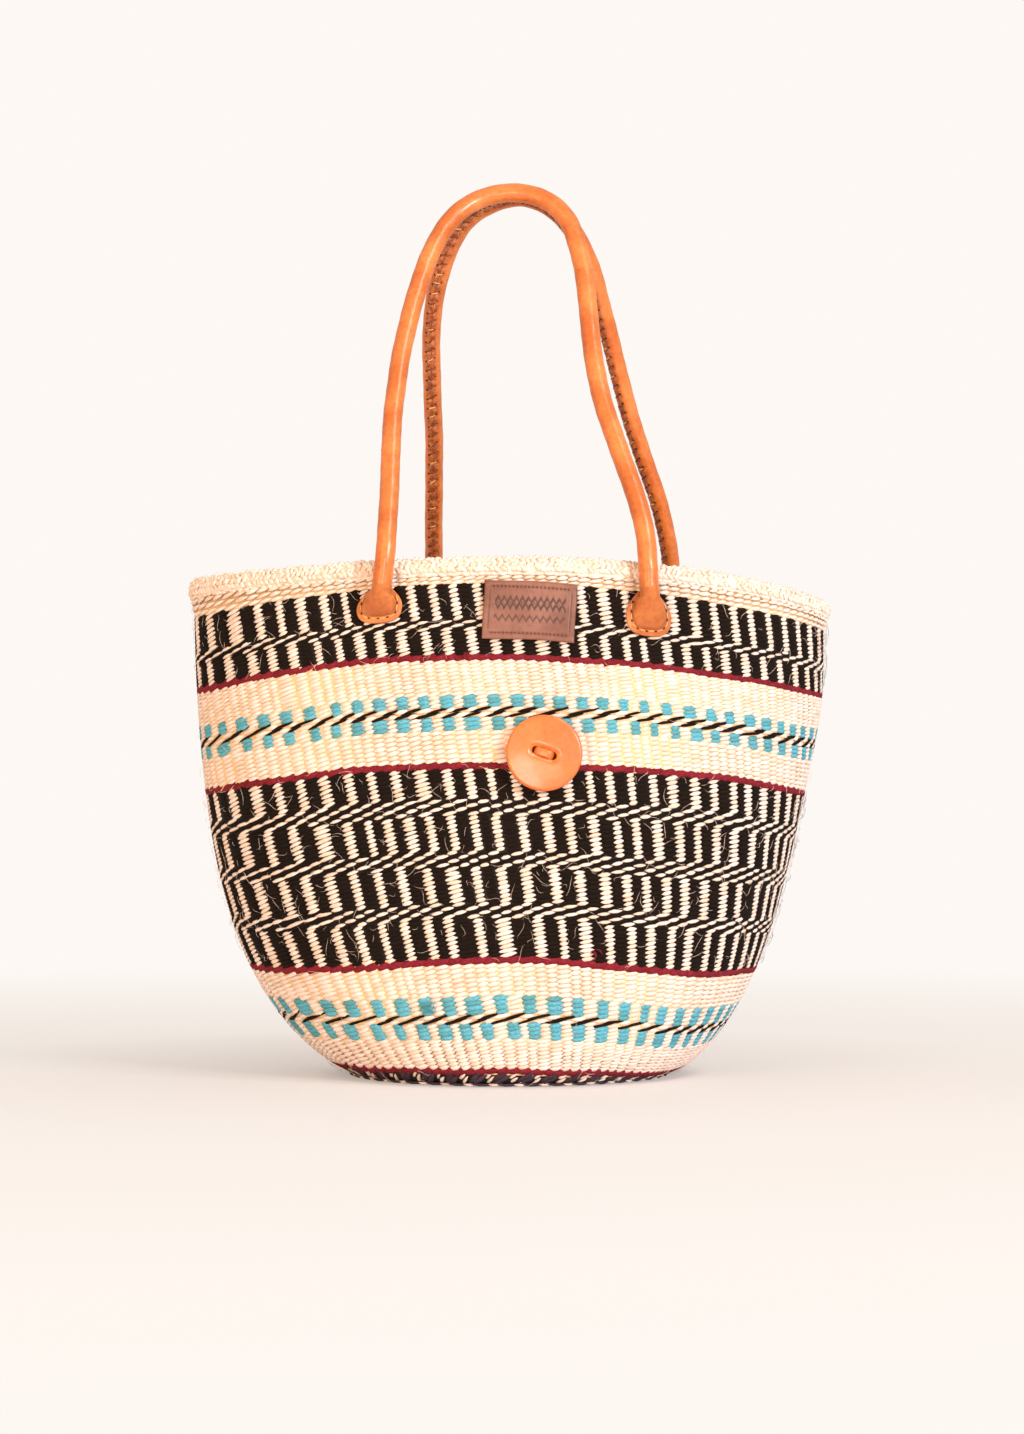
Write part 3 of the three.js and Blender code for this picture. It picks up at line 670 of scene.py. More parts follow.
def lay_row(grains, inside, kind, rise, pitch, middle, width, yarn):
    shares, whole = way_round(rise)
    sizes = grain_sizes(kind, yarn, width * whole, pitch)
    x, y, z = grains.shapes(*sizes, grain_arch)
    share = middle[:, None] + (-x if inside else x) / whole
    under = sizes[2][:, None] / 2 + peak_depth - z - swell(rise)
    sunk = dent(share, rise)
    depth = wall_thickness - under + 0.3 * sunk if inside else under + sunk
    lean = bar_lean * (wall_height - rise)
    corners = wall_point(angle_at(share + lean, shares), rise + y + wander(share, rise), depth)
    corners[..., 2] = np.maximum(corners[..., 2], lowest)
    grains.add(corners, yarn, *sizes[:2])


# %% Weave the wall
piece_starts = {
    "rim rows": "upper_weave",
    "black lines 1": "middle_weave",
    "middle lines 2": "lower_middle_weave",
    "cream 3": "lower_weave",
}
inner_grain = Template(4, 4)
woven, gap_bands = [], []
phase = 0
rise = wall_height - 1.2 * mm
for name, kind, rows, height, count, first, second in bands:
    if name in piece_starts:
        outer, inner = Grains(grain), Grains(inner_grain)
        woven.append((piece_starts[name], outer, inner))
    middle, width = columns(count, phase, kind != BARS or first == second)
    pitch = height * mm / rows
    gap_bands.append((rise, first in (BLACK, NAVY) and kind != THIN))
    for _ in range(rows):
        rise -= pitch
        if kind in (LINES, THIN):
            phase += 1
        odd = (np.arange(count) + phase) % 2 == 1
        row = (kind, rise + pitch / 2, pitch, middle, width)
        lay_row(outer, False, *row, np.where(odd, first, second))
        lay_row(inner, True, *row, np.where(odd, second, first))
foot_rise = rise
print(f"the rows end {foot_rise / mm:.2f} mm above the floor")

# %% [markdown]
# ## Base and floor
#
# The base starts with a small knot of warps in the middle, and the same twining runs round
# it outwards. The underside and the floor are rings of grains on a flat disc, with fewer
# columns towards the middle. The outermost rings still alternate with the foot's navy.

# %% Rings of grains on the base
base_pitch, column_length, base_arch = 2.6 * mm, 7 * mm, 0.5 * mm
knot_radius, knot_rings = 6 * mm, (4 * mm, 1.5 * mm)
sole_rise = 0.25 * mm
foot_radius = base_radius - foot_tuck


def turned(x, y, angle):
    """Places turned anticlockwise."""
    return x * np.cos(angle) - y * np.sin(angle), x * np.sin(angle) + y * np.cos(angle)


def lay_ring(grains, radius, height, out, odd_yarn=SISAL):
    """One ring on the base. Out is 1 on the floor, -1 on the underside."""
    count = max(6, 2 * round(math.pi * radius / column_length))
    order, whole = np.arange(count), 2 * math.pi * radius
    middle = (order + random.random()) / count
    yarn = np.where(order % 2 == 1, odd_yarn, SISAL)
    sizes = grain_sizes(PLAIN, yarn, whole / count, base_pitch)
    x, y, z = grains.shapes(*sizes, base_arch)
    angle = 2 * math.pi * (middle[:, None] + out * x / whole)
    level = height + out * (z - sizes[2][:, None] / 2)
    corners = np.stack([*turned(radius + y, 0, angle), level], -1)
    grains.add(corners, yarn, *sizes[:2])


lower_outer, lower_inner = woven[-1][1:]
radius = foot_radius
while radius > knot_radius:
    at_edge = radius > foot_radius - 3 * base_pitch
    lay_ring(lower_outer, radius, sole_rise, -1, NAVY if at_edge else SISAL)
    if radius < foot_radius - wall_thickness:
        lay_ring(lower_inner, radius, wall_thickness, 1)
    radius -= base_pitch
for grains, height, out in ((lower_outer, sole_rise, -1), (lower_inner, wall_thickness, 1)):
    for radius in knot_rings:
        lay_ring(grains, radius, height, out)
for name, outer, inner in woven:
    outer.piece("outer_" + name, "basket", "sisal", yarns, "woven_basket")
    inner.piece("inner_" + name, "basket", "sisal", yarns, "woven_basket")

# %% [markdown]
# ## A loft
#
# The warps, the rim's core, the handles and the lace are all lofts: one ring of corners,
# extruded again and again, each time onto the next ring. The rings say where the corners
# go, and bmesh makes the faces. A loft either closes on itself, or has a cap at each end.

# %% Loft
def move_to(corners, points):
    for corner, point in zip(corners, points):
        corner.co = point


def new_corners(made):
    """The corners among what an operator made."""
    return [g for g in made["geom"] if isinstance(g, bmesh.types.BMVert)]


def edges_round(corners):
    pairs = zip(corners, corners[1:] + corners[:1])
    return [next(e for e in a.link_edges if e.other_vert(a) is b) for a, b in pairs]


def loft(rings, closed=False):
    """Extrudes the first ring through the others. Returns the bmesh and its corners by ring."""
    bm = bmesh.new()
    bm.verts.layers.float.new("shade")
    grid = [list(bmesh.ops.create_circle(bm, segments=len(rings[0]), radius=1)["verts"])]
    for _ in rings[1:]:
        fresh = set(new_corners(bmesh.ops.extrude_edge_only(bm, edges=edges_round(grid[-1]))))
        pairs = [[e.other_vert(c) for e in c.link_edges] for c in grid[-1]]
        grid.append([next(v for v in ends if v in fresh) for ends in pairs])
    for corners, ring in zip(grid, rings):
        move_to(corners, ring)
    if closed:
        bmesh.ops.bridge_loops(bm, edges=edges_round(grid[0]) + edges_round(grid[-1]))
    else:
        for corners in (grid[0], grid[-1]):
            bmesh.ops.contextual_create(bm, geom=corners)
    bmesh.ops.recalc_face_normals(bm, faces=bm.faces)
    return bm, grid


# %% [markdown]
# The warps themselves hide behind the grains. One thin shell in the middle of the wall
# stands for them, and shows through the gaps as straw darkened with painted shade, or as
# black fluff.

# %% Warp shell
shell_out, shell_in = 1.9 * mm, 3.3 * mm
disc_low, disc_high, disc_middle = 1.6 * mm, 3.4 * mm, 2 * mm
disc_radius = foot_radius - 2 * mm
ring_steps = 160
ring_shares = np.arange(ring_steps) / ring_steps


def disc_ring(radius, height):
    turns = front_middle + even_turns(ring_steps)
    return np.stack([*turned(radius, 0, turns), np.full(ring_steps, height)], -1)


def shell_ring(rise, depth):
    """A ring under a row, which wanders with it."""
    angles = angle_at(ring_shares, way_round(rise)[0])
    return wall_point(angles, rise + wander(ring_shares, rise), depth)


rises = [wall_height - 1 * mm] + [r for r, _ in gap_bands[1:]] + [foot_rise + 1 * mm]
outside = [shell_ring(r, shell_out) for r in rises]
inside = [shell_ring(r, shell_in) for r in reversed(rises[:-1])]
underside = [disc_ring(r, disc_low) for r in (disc_radius, disc_middle)]
floor = [disc_ring(r, disc_high) for r in (disc_middle, disc_radius)]
bm, grid = loft(outside + underside + floor + inside, closed=True)
ring_of = {corner: number for number, corners in enumerate(grid) for corner in corners}
for face in bm.faces:
    numbers = [ring_of[corner] for corner in face.verts]
    number = min(numbers)
    if number <= len(gap_bands) and max(numbers) == number + 1:
        face.material_index = int(gap_bands[min(number, len(gap_bands) - 1)][1])
add_solid("warp_shell", bm, "basket", "sisal", [warp_and_gap_shade, fluff], "woven_basket")

# %% [markdown]
# ## The rim
#
# The warps end in a plait that is sewn over the wall's edge with overcast stitches. On the
# outside steep strands lie side by side, on the top flatter ones cross them, and a cream
# core shows between them. So the rim is eight tracks of thick grains round an oval roll:
# each point of a grain has a place round the basket, an angle round the roll, and a height
# above it.

# %% Rim plait
roll_rise, roll_depth = wall_height - 0.4 * mm, wall_thickness / 2
roll_half_across, roll_half_tall = 3.9 * mm, 5.6 * mm
strand_width, strand_thick, strand_sink = 2.7 * mm, 2.3 * mm, 0.7 * mm
strand_blunt, strand_arch = 0.5, 1.2 * mm
place_jitter, size_jitter, lean_jitter, lift_jitter = 0.2, 0.12, 14, 0.3 * mm
rim_shares, rim_whole = way_round(wall_height)


def roll_point(share, turn, lift):
    """A point on the rim's roll. Turn 0 faces out of the basket, a quarter turn is the top."""
    depth = roll_depth - (roll_half_across + lift) * np.cos(turn)
    rise = roll_rise + (roll_half_tall + lift) * np.sin(turn)
    return wall_point(angle_at(share, rim_shares), rise, depth)


plait = Grains(Template(6, 6))
# angle round the roll and slant in degrees, length and pitch of the strands in mm
tracks = [
    (-44, -15, 6.5, 4.2), (-14, -40, 7.0, 3.1), (14, 52, 6.5, 3.1), (44, -50, 6.5, 3.2),
    (76, 46, 6.5, 3.3), (112, -50, 7.0, 3.3), (160, 52, 8.0, 3.4), (212, -30, 7.5, 4.4),
]
for turn, slant, length, pitch in tracks:
    count = round(rim_whole / (pitch * mm))
    jitter = random.standard_normal((5, count))
    middle = (np.arange(count) + place_jitter * jitter[0] + random.random()) / count
    length = length * mm * (1 + size_jitter * jitter[1])
    width = strand_width * (1 + size_jitter * jitter[2])
    lean = np.radians(slant + lean_jitter * jitter[3])[:, None]
    x, y, z = plait.shapes(length, width, strand_thick, 0, strand_blunt, strand_arch)
    along, up = turned(x, y, lean)
    turns = math.radians(turn) + up / roll_half_tall
    lift = z - strand_sink + lift_jitter * jitter[4][:, None]
    plait.add(roll_point(middle[:, None] + along / rim_whole, turns, lift), SISAL, length, width)
plait.piece("rim_plait", "basket", "sisal", yarns, "rim_binding")

roll_turns = even_turns(12)
core_lift = -0.9 * mm
bm, _ = loft([roll_point(ring_shares, turn, core_lift) for turn in roll_turns], closed=True)
add_solid("rim_core", bm, "basket", "sisal", [rim_core], "rim_binding")

# %% [markdown]
# ## Leather handles
#
# Each handle is one strip of leather, wetted, folded round a sisal rope and whip-stitched
# along its inner side. Its ends open out into a bell that is sewn flat to the wall. A route
# is a list of shares of the handle's spacing and of its rise, joined by a smooth curve.
# A place holds the wall's own axes at one point of it, so that a piece of leather can be
# drawn flat, in steps across and up, and bent to the wall.

# %% A place on the wall
class Place:
    """A place on the front or back wall. Across runs to the right for who faces that wall."""

    def __init__(self, is_front, offset, rise):
        turn = math.acos(offset / half_width(rise))
        self.angle = -turn if is_front else turn
        self.rise = rise
        self.normal, self.speed = wall_frame(self.angle, rise)
        before, after = [outer_point(self.angle + math.radians(s), rise) for s in (-1, 1)]
        self.across = unit(after - before)
        self.up = np.cross(self.normal, self.across)

    def near(self, across, up, depth):
        return wall_point(self.angle + across / self.speed, self.rise + up, depth)


middle = Place(True, 0.0, wall_height / 2)
print(f"the front wall leans in by {math.degrees(math.asin(middle.up[1])):.1f} degrees")


# %% A smooth route through points
def at_distance(distance, way, points):
    """What lies at some distances along a line, from its points and how far they are."""
    return np.stack([np.interp(distance, way, column) for column in points.T], -1)


def between(at, start, end, first, second):
    return ((end - at) * first + (at - start) * second) / (end - start)


def smooth_route(points, count, steps=24):
    """Points evenly apart on a centripetal Catmull-Rom curve through the given ones."""
    points = np.asarray(points, float)
    padded = np.vstack([2 * points[0] - points[1], points, 2 * points[-1] - points[-2]])
    pieces = []
    for quad in zip(padded, padded[1:], padded[2:], padded[3:]):
        gaps = [np.linalg.norm(b - a) ** 0.5 for a, b in zip(quad, quad[1:])]
        knots = np.concatenate([[0], np.cumsum(gaps)])
        at = np.linspace(knots[1], knots[2], steps, endpoint=False)[:, None]
        lines = [between(at, *knots[i : i + 2], *quad[i : i + 2]) for i in range(3)]
        arcs = [between(at, knots[i], knots[i + 2], *lines[i : i + 2]) for i in range(2)]
        pieces.append(between(at, *knots[1:3], *arcs))
    line = np.vstack(pieces + [points[-1:]])
    way = travelled(line)
    return at_distance(np.linspace(0, way[-1], count), way, line)


# %% Routes of the handles
handle_spacing, handle_rise, handle_radius = 144 * mm, 240 * mm, 5.5 * mm
neck_rise, neck_stand_off = 280 * mm, 8.8 * mm
top_half_gap, bend_share = 8 * mm, 0.1
neck_splay, splay_rise = 0.9 * mm, 12 * mm
# the bells stand further apart than the necks above them, and the left neck is higher
splay = {-1: 4.7 * mm, 1: 3 * mm}
neck_lift = {-1: 1.5 * mm, 1: 0}
twist_places = np.array((0, 0.05, 0.12, 0.42, 0.6, 0.93, 0.99, 1))

# its place, how far its seam turns at the twist places, in radians, and its route
Handle = namedtuple("Handle", "name is_front offset twists route")
handles = [
    Handle("front", True, 3.5 * mm, (0, 0, 0, -0.1, -0.5, -0.1, 0, 0), [
        (-0.5, 0), (-0.489, 0.1), (-0.48, 0.25), (-0.474, 0.4), (-0.447, 0.56), (-0.405, 0.69),
        (-0.338, 0.83), (-0.25, 0.93), (-0.13, 0.985), (0, 1), (0.12, 0.982), (0.2, 0.935),
        (0.25, 0.85), (0.278, 0.74), (0.294, 0.62), (0.325, 0.49), (0.378, 0.375),
        (0.44, 0.26), (0.487, 0.15), (0.497, 0.07), (0.5, 0),
    ]),
    Handle("back", False, 26 * mm, (0, 0, -0.12, -0.1, 1.05, 1.05, 0, 0), [
        (-0.5, 0), (-0.5, 0.1), (-0.497, 0.25), (-0.493, 0.42), (-0.5, 0.58), (-0.497, 0.7),
        (-0.472, 0.79), (-0.42, 0.88), (-0.34, 0.95), (-0.22, 0.99), (-0.12, 1), (-0.02, 0.98),
        (0.07, 0.93), (0.14, 0.855), (0.19, 0.76), (0.245, 0.64), (0.3, 0.52), (0.36, 0.41),
        (0.43, 0.295), (0.476, 0.19), (0.495, 0.1), (0.5, 0),
    ]),
]


def neck_place(handle, side, spread):
    """Where a neck meets the wall. Side is -1 on the left and 1 on the right."""
    offset = handle.offset + side * (handle_spacing / 2 + spread)
    return Place(handle.is_front, offset, neck_rise + neck_lift[side])


def handle_line(handle, count):
    left, right = [neck_place(handle, s, 0).near(0, 0, -neck_stand_off) for s in (-1, 1)]
    top_depth = -top_half_gap if handle.is_front else top_half_gap
    points = []
    for across_share, up_share in handle.route:
        point = left + (right - left) * (across_share + 0.5)
        lean = max(0, (up_share - bend_share) / (1 - bend_share))
        rise = up_share * handle_rise
        aside = math.copysign(neck_splay, across_share) * math.exp(-rise / splay_rise)
        points.append(point + (aside, (top_depth - point[1]) * lean, rise))
    return smooth_route(points, count)


for handle in handles:
    line = handle_line(handle, 400)
    length, top = travelled(line)[-1] / mm, line[:, 2].max() / mm
    print(f"{handle.name} handle: {length:.0f} mm along its middle, top at {top:.0f} mm")

# %% [markdown]
# The leather is one loft from bell to bell. Its ring is round on the rope. The seam is a
# groove with dents between its stitches, so more corners lie on that side. Down in the
# bell the ring widens to the stitching line, flattens, and rests on the wall. A last
# attribute, shade, turns the pulled leather round the seam red brown.

# %% Outline of the bell
tab_half_width, tab_border, neck_half = 13.2 * mm, 3.6 * mm, 6 * mm
tab_tall = {-1: 19.5 * mm, 1: 24.5 * mm}


def bezier(a, b, c, d, steps=12):
    t = np.linspace(0, 1, steps, endpoint=False)[:, None]
    a, b, c, d = (np.array(p) for p in (a, b, c, d))
    return (1 - t) ** 3 * a + 3 * t * (1 - t) ** 2 * b + 3 * t**2 * (1 - t) * c + t**3 * d


def bell_side(tall, inset):
    """Points of the bell's right side from the neck down, as places across and up."""
    half, low = tab_half_width - inset, inset - tall
    widest = (half, -0.56 * tall)
    neck, below_neck = (neck_half, -inset), (neck_half + 3.4 * mm, -0.17 * tall)
    shoulder = bezier(neck, below_neck, (half, -0.32 * tall), widest)
    bottom = bezier(widest, (half, low * 0.93), (half * 0.58, low), (0, low))
    return np.vstack([shoulder, bottom, [[0, low]]])


def slid(side, up):
    """How far across the bell's middle lies at a height: it leans from the neck to its place."""
    left_over = np.clip(1 + np.asarray(up) / (0.7 * tab_tall[side]), 0, 1.2)
    return -side * (splay[side] - neck_splay) * left_over**1.5


def mirrored(half_outline, side):
    """The whole outline of a bell from its right half, leaning a little as the bell does."""
    whole = np.vstack([half_outline, (half_outline * (-1, 1))[-2::-1]])
    whole[:, 0] += 0.45 * slid(side, whole[:, 1])
    return whole


print("bells", {side: f"{tall / mm:.1f} mm tall" for side, tall in tab_tall.items()})


# %% Rings of the bell
ring_sides, crowding = 36, 0.55
# angles round the ring from the seam, closer together beside it
turns = even_turns(ring_sides)
turns = turns - crowding * np.sin(turns)
from_seam = np.abs((turns + math.pi) % (2 * math.pi) - math.pi)
open_share, open_out = 0.62, 4.3 * mm  # where the bell is open, and how far
fold_count, fold_deep = 9, 0.32
# how far down the bell as a share, top above the wall and underside in mm, roundness
bell_sections = np.array([
    (-0.05, 14.3, 3.3, 1.0), (0.12, 13.6, 1.9, 1.1), (0.3, 12.0, 0.9, 1.3), (0.48, 10.2, 0.7, 1.5),
    (0.66, 8.4, 0.6, 1.6), (0.82, 6.3, 0.5, 1.6), (0.93, 4.2, 0.5, 1.4), (0.985, 2.4, 0.5, 1.2),
])


def bell_rings(handle, side):
    """Rings from the neck down into the bell, on the wall."""
    place, tall = neck_place(handle, side, splay[side]), tab_tall[side]
    widths, ups = bell_side(tall, tab_border)[::-1].T
    rings = []
    for share, top, under, roundness in smooth_route(bell_sections, 16):
        up = -share * (tall - tab_border)
        opened = np.clip((share + 0.05) / open_share, 0, 1)
        half = np.interp(up, ups, widths, right=handle_radius)
        half = min(half, handle_radius + open_out * opened) if share > 0 else handle_radius
        level = under + (top - under) * ((1 - np.cos(turns)) / 2) ** roundness
        folds = np.sin(fold_count * turns + 1.5 * side + 5 * share) * np.sin(turns) ** 2
        level = level + fold_deep * folds * np.clip(4 * (share - 0.3), 0, 1)
        rings.append(place.near(side * half * np.sin(turns) + slid(side, up), up, -level * mm))
    return rings


# %% The tube
stitch_pitch = 6 * mm
groove_deep, groove_wide, dent_in, dent_wide = 0.75 * mm, 0.55 * mm, 0.8 * mm, 3.0 * mm
# share of the radius, length along, waves round the tube and start of its soft lumps
tube_lumps = ((0.016, 37 * mm, 1, 0), (0.012, 13 * mm, 2, 1))


class Tube:
    """The rolled part of a handle: its middle line, and the way to its seam."""

    def __init__(self, handle, stations=520):
        self.line = handle_line(handle, stations)
        self.way = travelled(self.line)
        tangent = unit(np.gradient(self.line, axis=0))
        inward = np.array([0, 1.0 if handle.is_front else -1.0, 0])
        self.seam = unit(inward - tangent * (tangent @ inward)[:, None])
        self.side = np.cross(tangent, self.seam)
        self.twist = np.interp(self.way, twist_places * self.way[-1], handle.twists)

    def point(self, along, turn, radius):
        lines = (self.line, self.seam, self.side)
        middle, seam, side = [at_distance(along, self.way, line) for line in lines]
        turn = turn + np.interp(along, self.way, self.twist)
        around = seam * np.cos(turn)[..., None] + side * np.sin(turn)[..., None]
        return middle + around * np.asarray(radius)[..., None]


def tube_radius(along):
    """The radius round one ring: a groove at the seam, dents beside it, and soft lumps."""
    arc = from_seam * handle_radius
    beat = 0.5 + 0.5 * math.cos(2 * math.pi * along / stitch_pitch)
    pressed = groove_deep * fade(arc, groove_wide) + dent_in * beat * fade(arc, dent_wide)
    swelling = 1
    for size, length, waves, start in tube_lumps:
        swelling = swelling + size * np.sin(2 * math.pi * along / length + waves * turns + start)
    return handle_radius * swelling - pressed


# %% Loft the handles
rope_sides, rope_radius, rope_start = 12, 3.4 * mm, 8
blend_below, blend_above = 4 * mm, 10 * mm
# shade of the pulled leather, how far it reaches in radians, and shade all round
pulled_shade, pulled_reach, least_shade = 0.9, 0.75, 0.06


def bend_at_neck(piece, handle, tube):
    """Lets a piece bend round the handle's hinge, from the basket to the handle."""
    x, y, z = tube.line[0]
    start, end = (x, y, z - blend_below), (x, y, z + blend_above)
    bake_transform(piece, "basket", handle.name + "_handle", start=start, end=end)


def build_handle(handle):
    tube, name = Tube(handle), handle.name
    left, right = bell_rings(handle, -1), bell_rings(handle, 1)
    rolled = [tube.point(along, turns, tube_radius(along)) for along in tube.way[2:-2]]
    bm, grid = loft(left[::-1] + rolled + right)
    layer = bm.verts.layers.float["shade"]
    pulled = pulled_shade * fade(from_seam, pulled_reach, 4) + least_shade
    for corners in grid:
        for corner, value in zip(corners, pulled):
            corner[layer] = value
    nodes = [f"{name}_handle_cover", f"{name}_left_tab", f"{name}_right_tab"]
    leather = add_solid(name + "_handle_leather", bm, None, "tan_leather", [tan_leather], *nodes)
    rope_turns = even_turns(rope_sides)
    stations = tube.way[rope_start:-rope_start:4]
    bm, _ = loft([tube.point(along, rope_turns, rope_radius) for along in stations])
    core = add_solid(name + "_handle_rope", bm, None, "rope", [rope], name + "_handle_core")
    for piece in (leather, core):
        bend_at_neck(piece, handle, tube)
    return tube


tubes = {handle.name: build_handle(handle) for handle in handles}

# %% [markdown]
# The whip stitches pull the two edges of the strip together every 6 mm. Each is a short
# slanting thread, and a flat dark grain at its end is painted shade in the stitch hole.

# %% Whip stitches
seam_yarns = [dark_thread, hole_shadow, pale_thread]
DARK, HOLE_SHADE, PALE = range(3)
stitch_grain = Template(6, 5)


def lay_on_tube(grains, tube, along, turn, lean, kinds, sizes):
    """Lays stitches round a handle. Sizes are length, width, thickness and lift in mm."""
    length, width, thick, lift = np.array(sizes) * mm
    x, y, z = grains.shapes(length, width, thick, 0, 0.8, 0.4 * mm)
    around, forward = turned(x, y, lean[:, None])
    turn = turn + around / handle_radius
    corners = tube.point(along[:, None] + forward, turn, handle_radius + lift + z)
    grains.add(corners, kinds, length, width)


for handle in handles:
    tube = tubes[handle.name]
    seams = Grains(stitch_grain)
    along = np.arange(18 * mm, tube.way[-1] - 18 * mm, stitch_pitch)
    jitter = random.standard_normal((3, len(along)))
    lean = 0.45 + 0.2 * jitter[0]
    threads = np.where(jitter[2] > 0.4, PALE, DARK)
    moved = along + 0.5 * mm * jitter[1]
    lay_on_tube(seams, tube, moved, -0.02, lean, threads, (5.4, 1.0, 1.0, -0.25))
    # painted shade in the stitch holes on both sides of the seam
    lay_on_tube(seams, tube, along - 1.2 * mm, -0.52, lean - 0.45, HOLE_SHADE, (2.3, 1.3, 0.7, -0.3))
    lay_on_tube(seams, tube, along + 1.4 * mm, 0.5, lean - 0.45, HOLE_SHADE, (1.3, 0.9, 0.6, -0.25))
    name = handle.name + "_handle"
    seams.piece(name + "_seam_stitches", name, "dark_thread", seam_yarns, name + "_seam_thread")

# %% [markdown]
# ## Sewn plates
#
# The border round each bell, the patches behind the wall and the anchor of the closing
# strap are plates of leather. A flat outline becomes one face, is inset twice so that it
# can bend, gets its thickness by extrusion and its rounded edge by a bevel, and is then
# laid on the wall.

# %% Plate bent to the wall
clearance = 0.3 * mm
border_thickness, crease_pitch = 1.5 * mm, 5.4 * mm
patch_width, patch_tall, patch_drop = 30 * mm, 26 * mm, 16 * mm
thread_jitter, thread_width, thread_thick = 0.12 * mm, 0.85 * mm, 0.8 * mm
hole_size = (1.5 * mm, 1.1 * mm, 0.6 * mm)


def flat_corners(bm):
    return np.array([corner.co for corner in bm.verts])


def thicken(bm, thickness, rounded=0, segments=2):
    """Gives a sheet of faces its thickness, and rounds its sharp edges."""
    made = bmesh.ops.extrude_face_region(bm, geom=bm.faces[:], use_keep_orig=True)
    bmesh.ops.translate(bm, verts=new_corners(made), vec=(0, 0, thickness))
    bmesh.ops.recalc_face_normals(bm, faces=bm.faces)
    if rounded:
        sharp = [e for e in bm.edges if len(e.link_faces) == 2 and e.calc_face_angle(0) > 1]
        bmesh.ops.bevel(
            bm, geom=sharp, offset=rounded, affect="EDGES", segments=segments, profile=0.5,
            material=-1)


def leather_plate(name, outline, place, near, thickness, insets, node):
    bm = bmesh.new()
    face = bm.faces.new([bm.verts.new((x, y, 0)) for x, y in outline])
    bmesh.ops.recalc_face_normals(bm, faces=[face])
    if face.normal.z < 0:
        bmesh.ops.reverse_faces(bm, faces=[face])
    for inset in insets:
        bmesh.ops.inset_region(bm, faces=[face], thickness=inset, use_even_offset=True)
    thicken(bm, thickness, 0.28 * thickness)
    x, y, z = flat_corners(bm).T
    move_to(bm.verts, place.near(x, y, -(near + z)))
    bmesh.ops.triangulate(bm, faces=[f for f in bm.faces if len(f.verts) > 4])
    bmesh.ops.recalc_face_normals(bm, faces=bm.faces)
    add_solid(name, bm, "basket", "tan_leather", [tan_leather], node)


def inner_patch(name, place, corner, thickness, node, steps=6):
    """A rounded rectangle of leather on the inside of the wall."""
    outline = []
    for quarter, (sx, sy) in enumerate(((1, 1), (-1, 1), (-1, -1), (1, -1))):
        for angle in np.linspace(0, math.pi / 2, steps) + quarter * math.pi / 2:
            x = sx * (patch_width / 2 - corner) + corner * math.cos(angle)
            y = sy * (patch_tall / 2 - corner) + corner * math.sin(angle)
            outline.append((x, y))
    near = -wall_thickness - clearance - thickness
    leather_plate(name, outline, place, near, thickness, [2 * mm, 4 * mm], node)


# %% Bell borders, backing patches and their stitches
def along_line(points, spacing, start=0.0):
    """Places evenly apart on a line of points, with the directions there."""
    points = np.asarray(points)
    way = travelled(points)
    at = np.arange(start + spacing / 2, way[-1] - spacing / 4, spacing)
    spots = at_distance(at, way, points)
    return spots, unit(at_distance(at + 0.2 * mm, way, points) - spots)


def lay_on_wall(grains, place, spots, ways, kind, length, width, thick, lift):
    """Lays stitches on the wall. Lift is how far above it their middles are."""
    x, y, z = grains.shapes(length, width, thick, 0, 0.9, 0.3 * mm)
    across = spots[:, :1] + x * ways[:, :1] - y * ways[:, 1:]
    up = spots[:, 1:] + x * ways[:, 1:] + y * ways[:, :1]
    grains.add(place.near(across, up, -(lift + z)), kind, length, width)


def sew_line(name, place, line, pitch, lift, length, node):
    """A row of pale stitches, and a flat dark grain of painted shade in the hole between each and the next.
    """
    stitches = Grains(stitch_grain)
    spots, ways = along_line(line, pitch)
    spots = spots + thread_jitter * random.standard_normal(spots.shape)
    sizes = (length, thread_width, thread_thick, lift)
    lay_on_wall(stitches, place, spots, ways, PALE, *sizes)
    holes, ways = along_line(line, pitch, pitch / 2)
    lay_on_wall(stitches, place, holes, ways, HOLE_SHADE, *hole_size, lift - 0.05 * mm)
    stitches.piece(name, "basket", "pale_thread", seam_yarns, node)


for handle in handles:
    for end, side in (("left", -1), ("right", 1)):
        name = f"{handle.name}_{end}"
        place, tall = neck_place(handle, side, splay[side]), tab_tall[side]
        outline = mirrored(bell_side(tall, 0), side)
        leather_plate(name + "_tab_border", outline, place, clearance, border_thickness,
                      [tab_border * 0.7, 2 * mm], name + "_tab")
        crease = mirrored(bell_side(tall, tab_border - 0.9 * mm)[3:], side)
        sew_line(name + "_tab_stitches", place, crease, crease_pitch,
                 border_thickness + 0.6 * mm, 3.9 * mm, name + "_tab_thread")
        offset = handle.offset + side * handle_spacing / 2
        behind = Place(handle.is_front, offset, neck_rise - patch_drop)
        inner_patch(name + "_backing", behind, 6 * mm, 2 * mm, name + "_backing_patch")

# %% [markdown]
# ## The label
#
# The label is a patch of darker leather, sewn on along its top and bottom edge. A stamp
# has pressed a band of lozenges, a row of small chevrons and a border line into it. The
# The relief is a height worked out for each point of a fine grid, so that it is real geometry
# and catches the light: grooves sink, and the leather beside them swells a little. The
# grooves and the stitch holes are also darkened with painted shade.

# %% Lines of the stamp
label_width, label_tall, label_thickness = 51.8 * mm, 32.8 * mm, 1.8 * mm
label_place, label_turn = Place(True, 11.4 * mm, 266.8 * mm), math.radians(2.4)
label_margin, label_stitch_pitch = 3.4 * mm, 2.2 * mm
cell = 0.42 * mm
# middle height, half height, half period and half tall of the two pressed bands, in mm
band_middle, band_half, band_period, band_tall = 4, 4.4, 3.4, 3.2
small_middle, small_half, small_period, small_tall = -4.6, 2.2, 1.9, 1.5
band_half_length, side_line_half, side_line_inset = 20, 11, 3.2
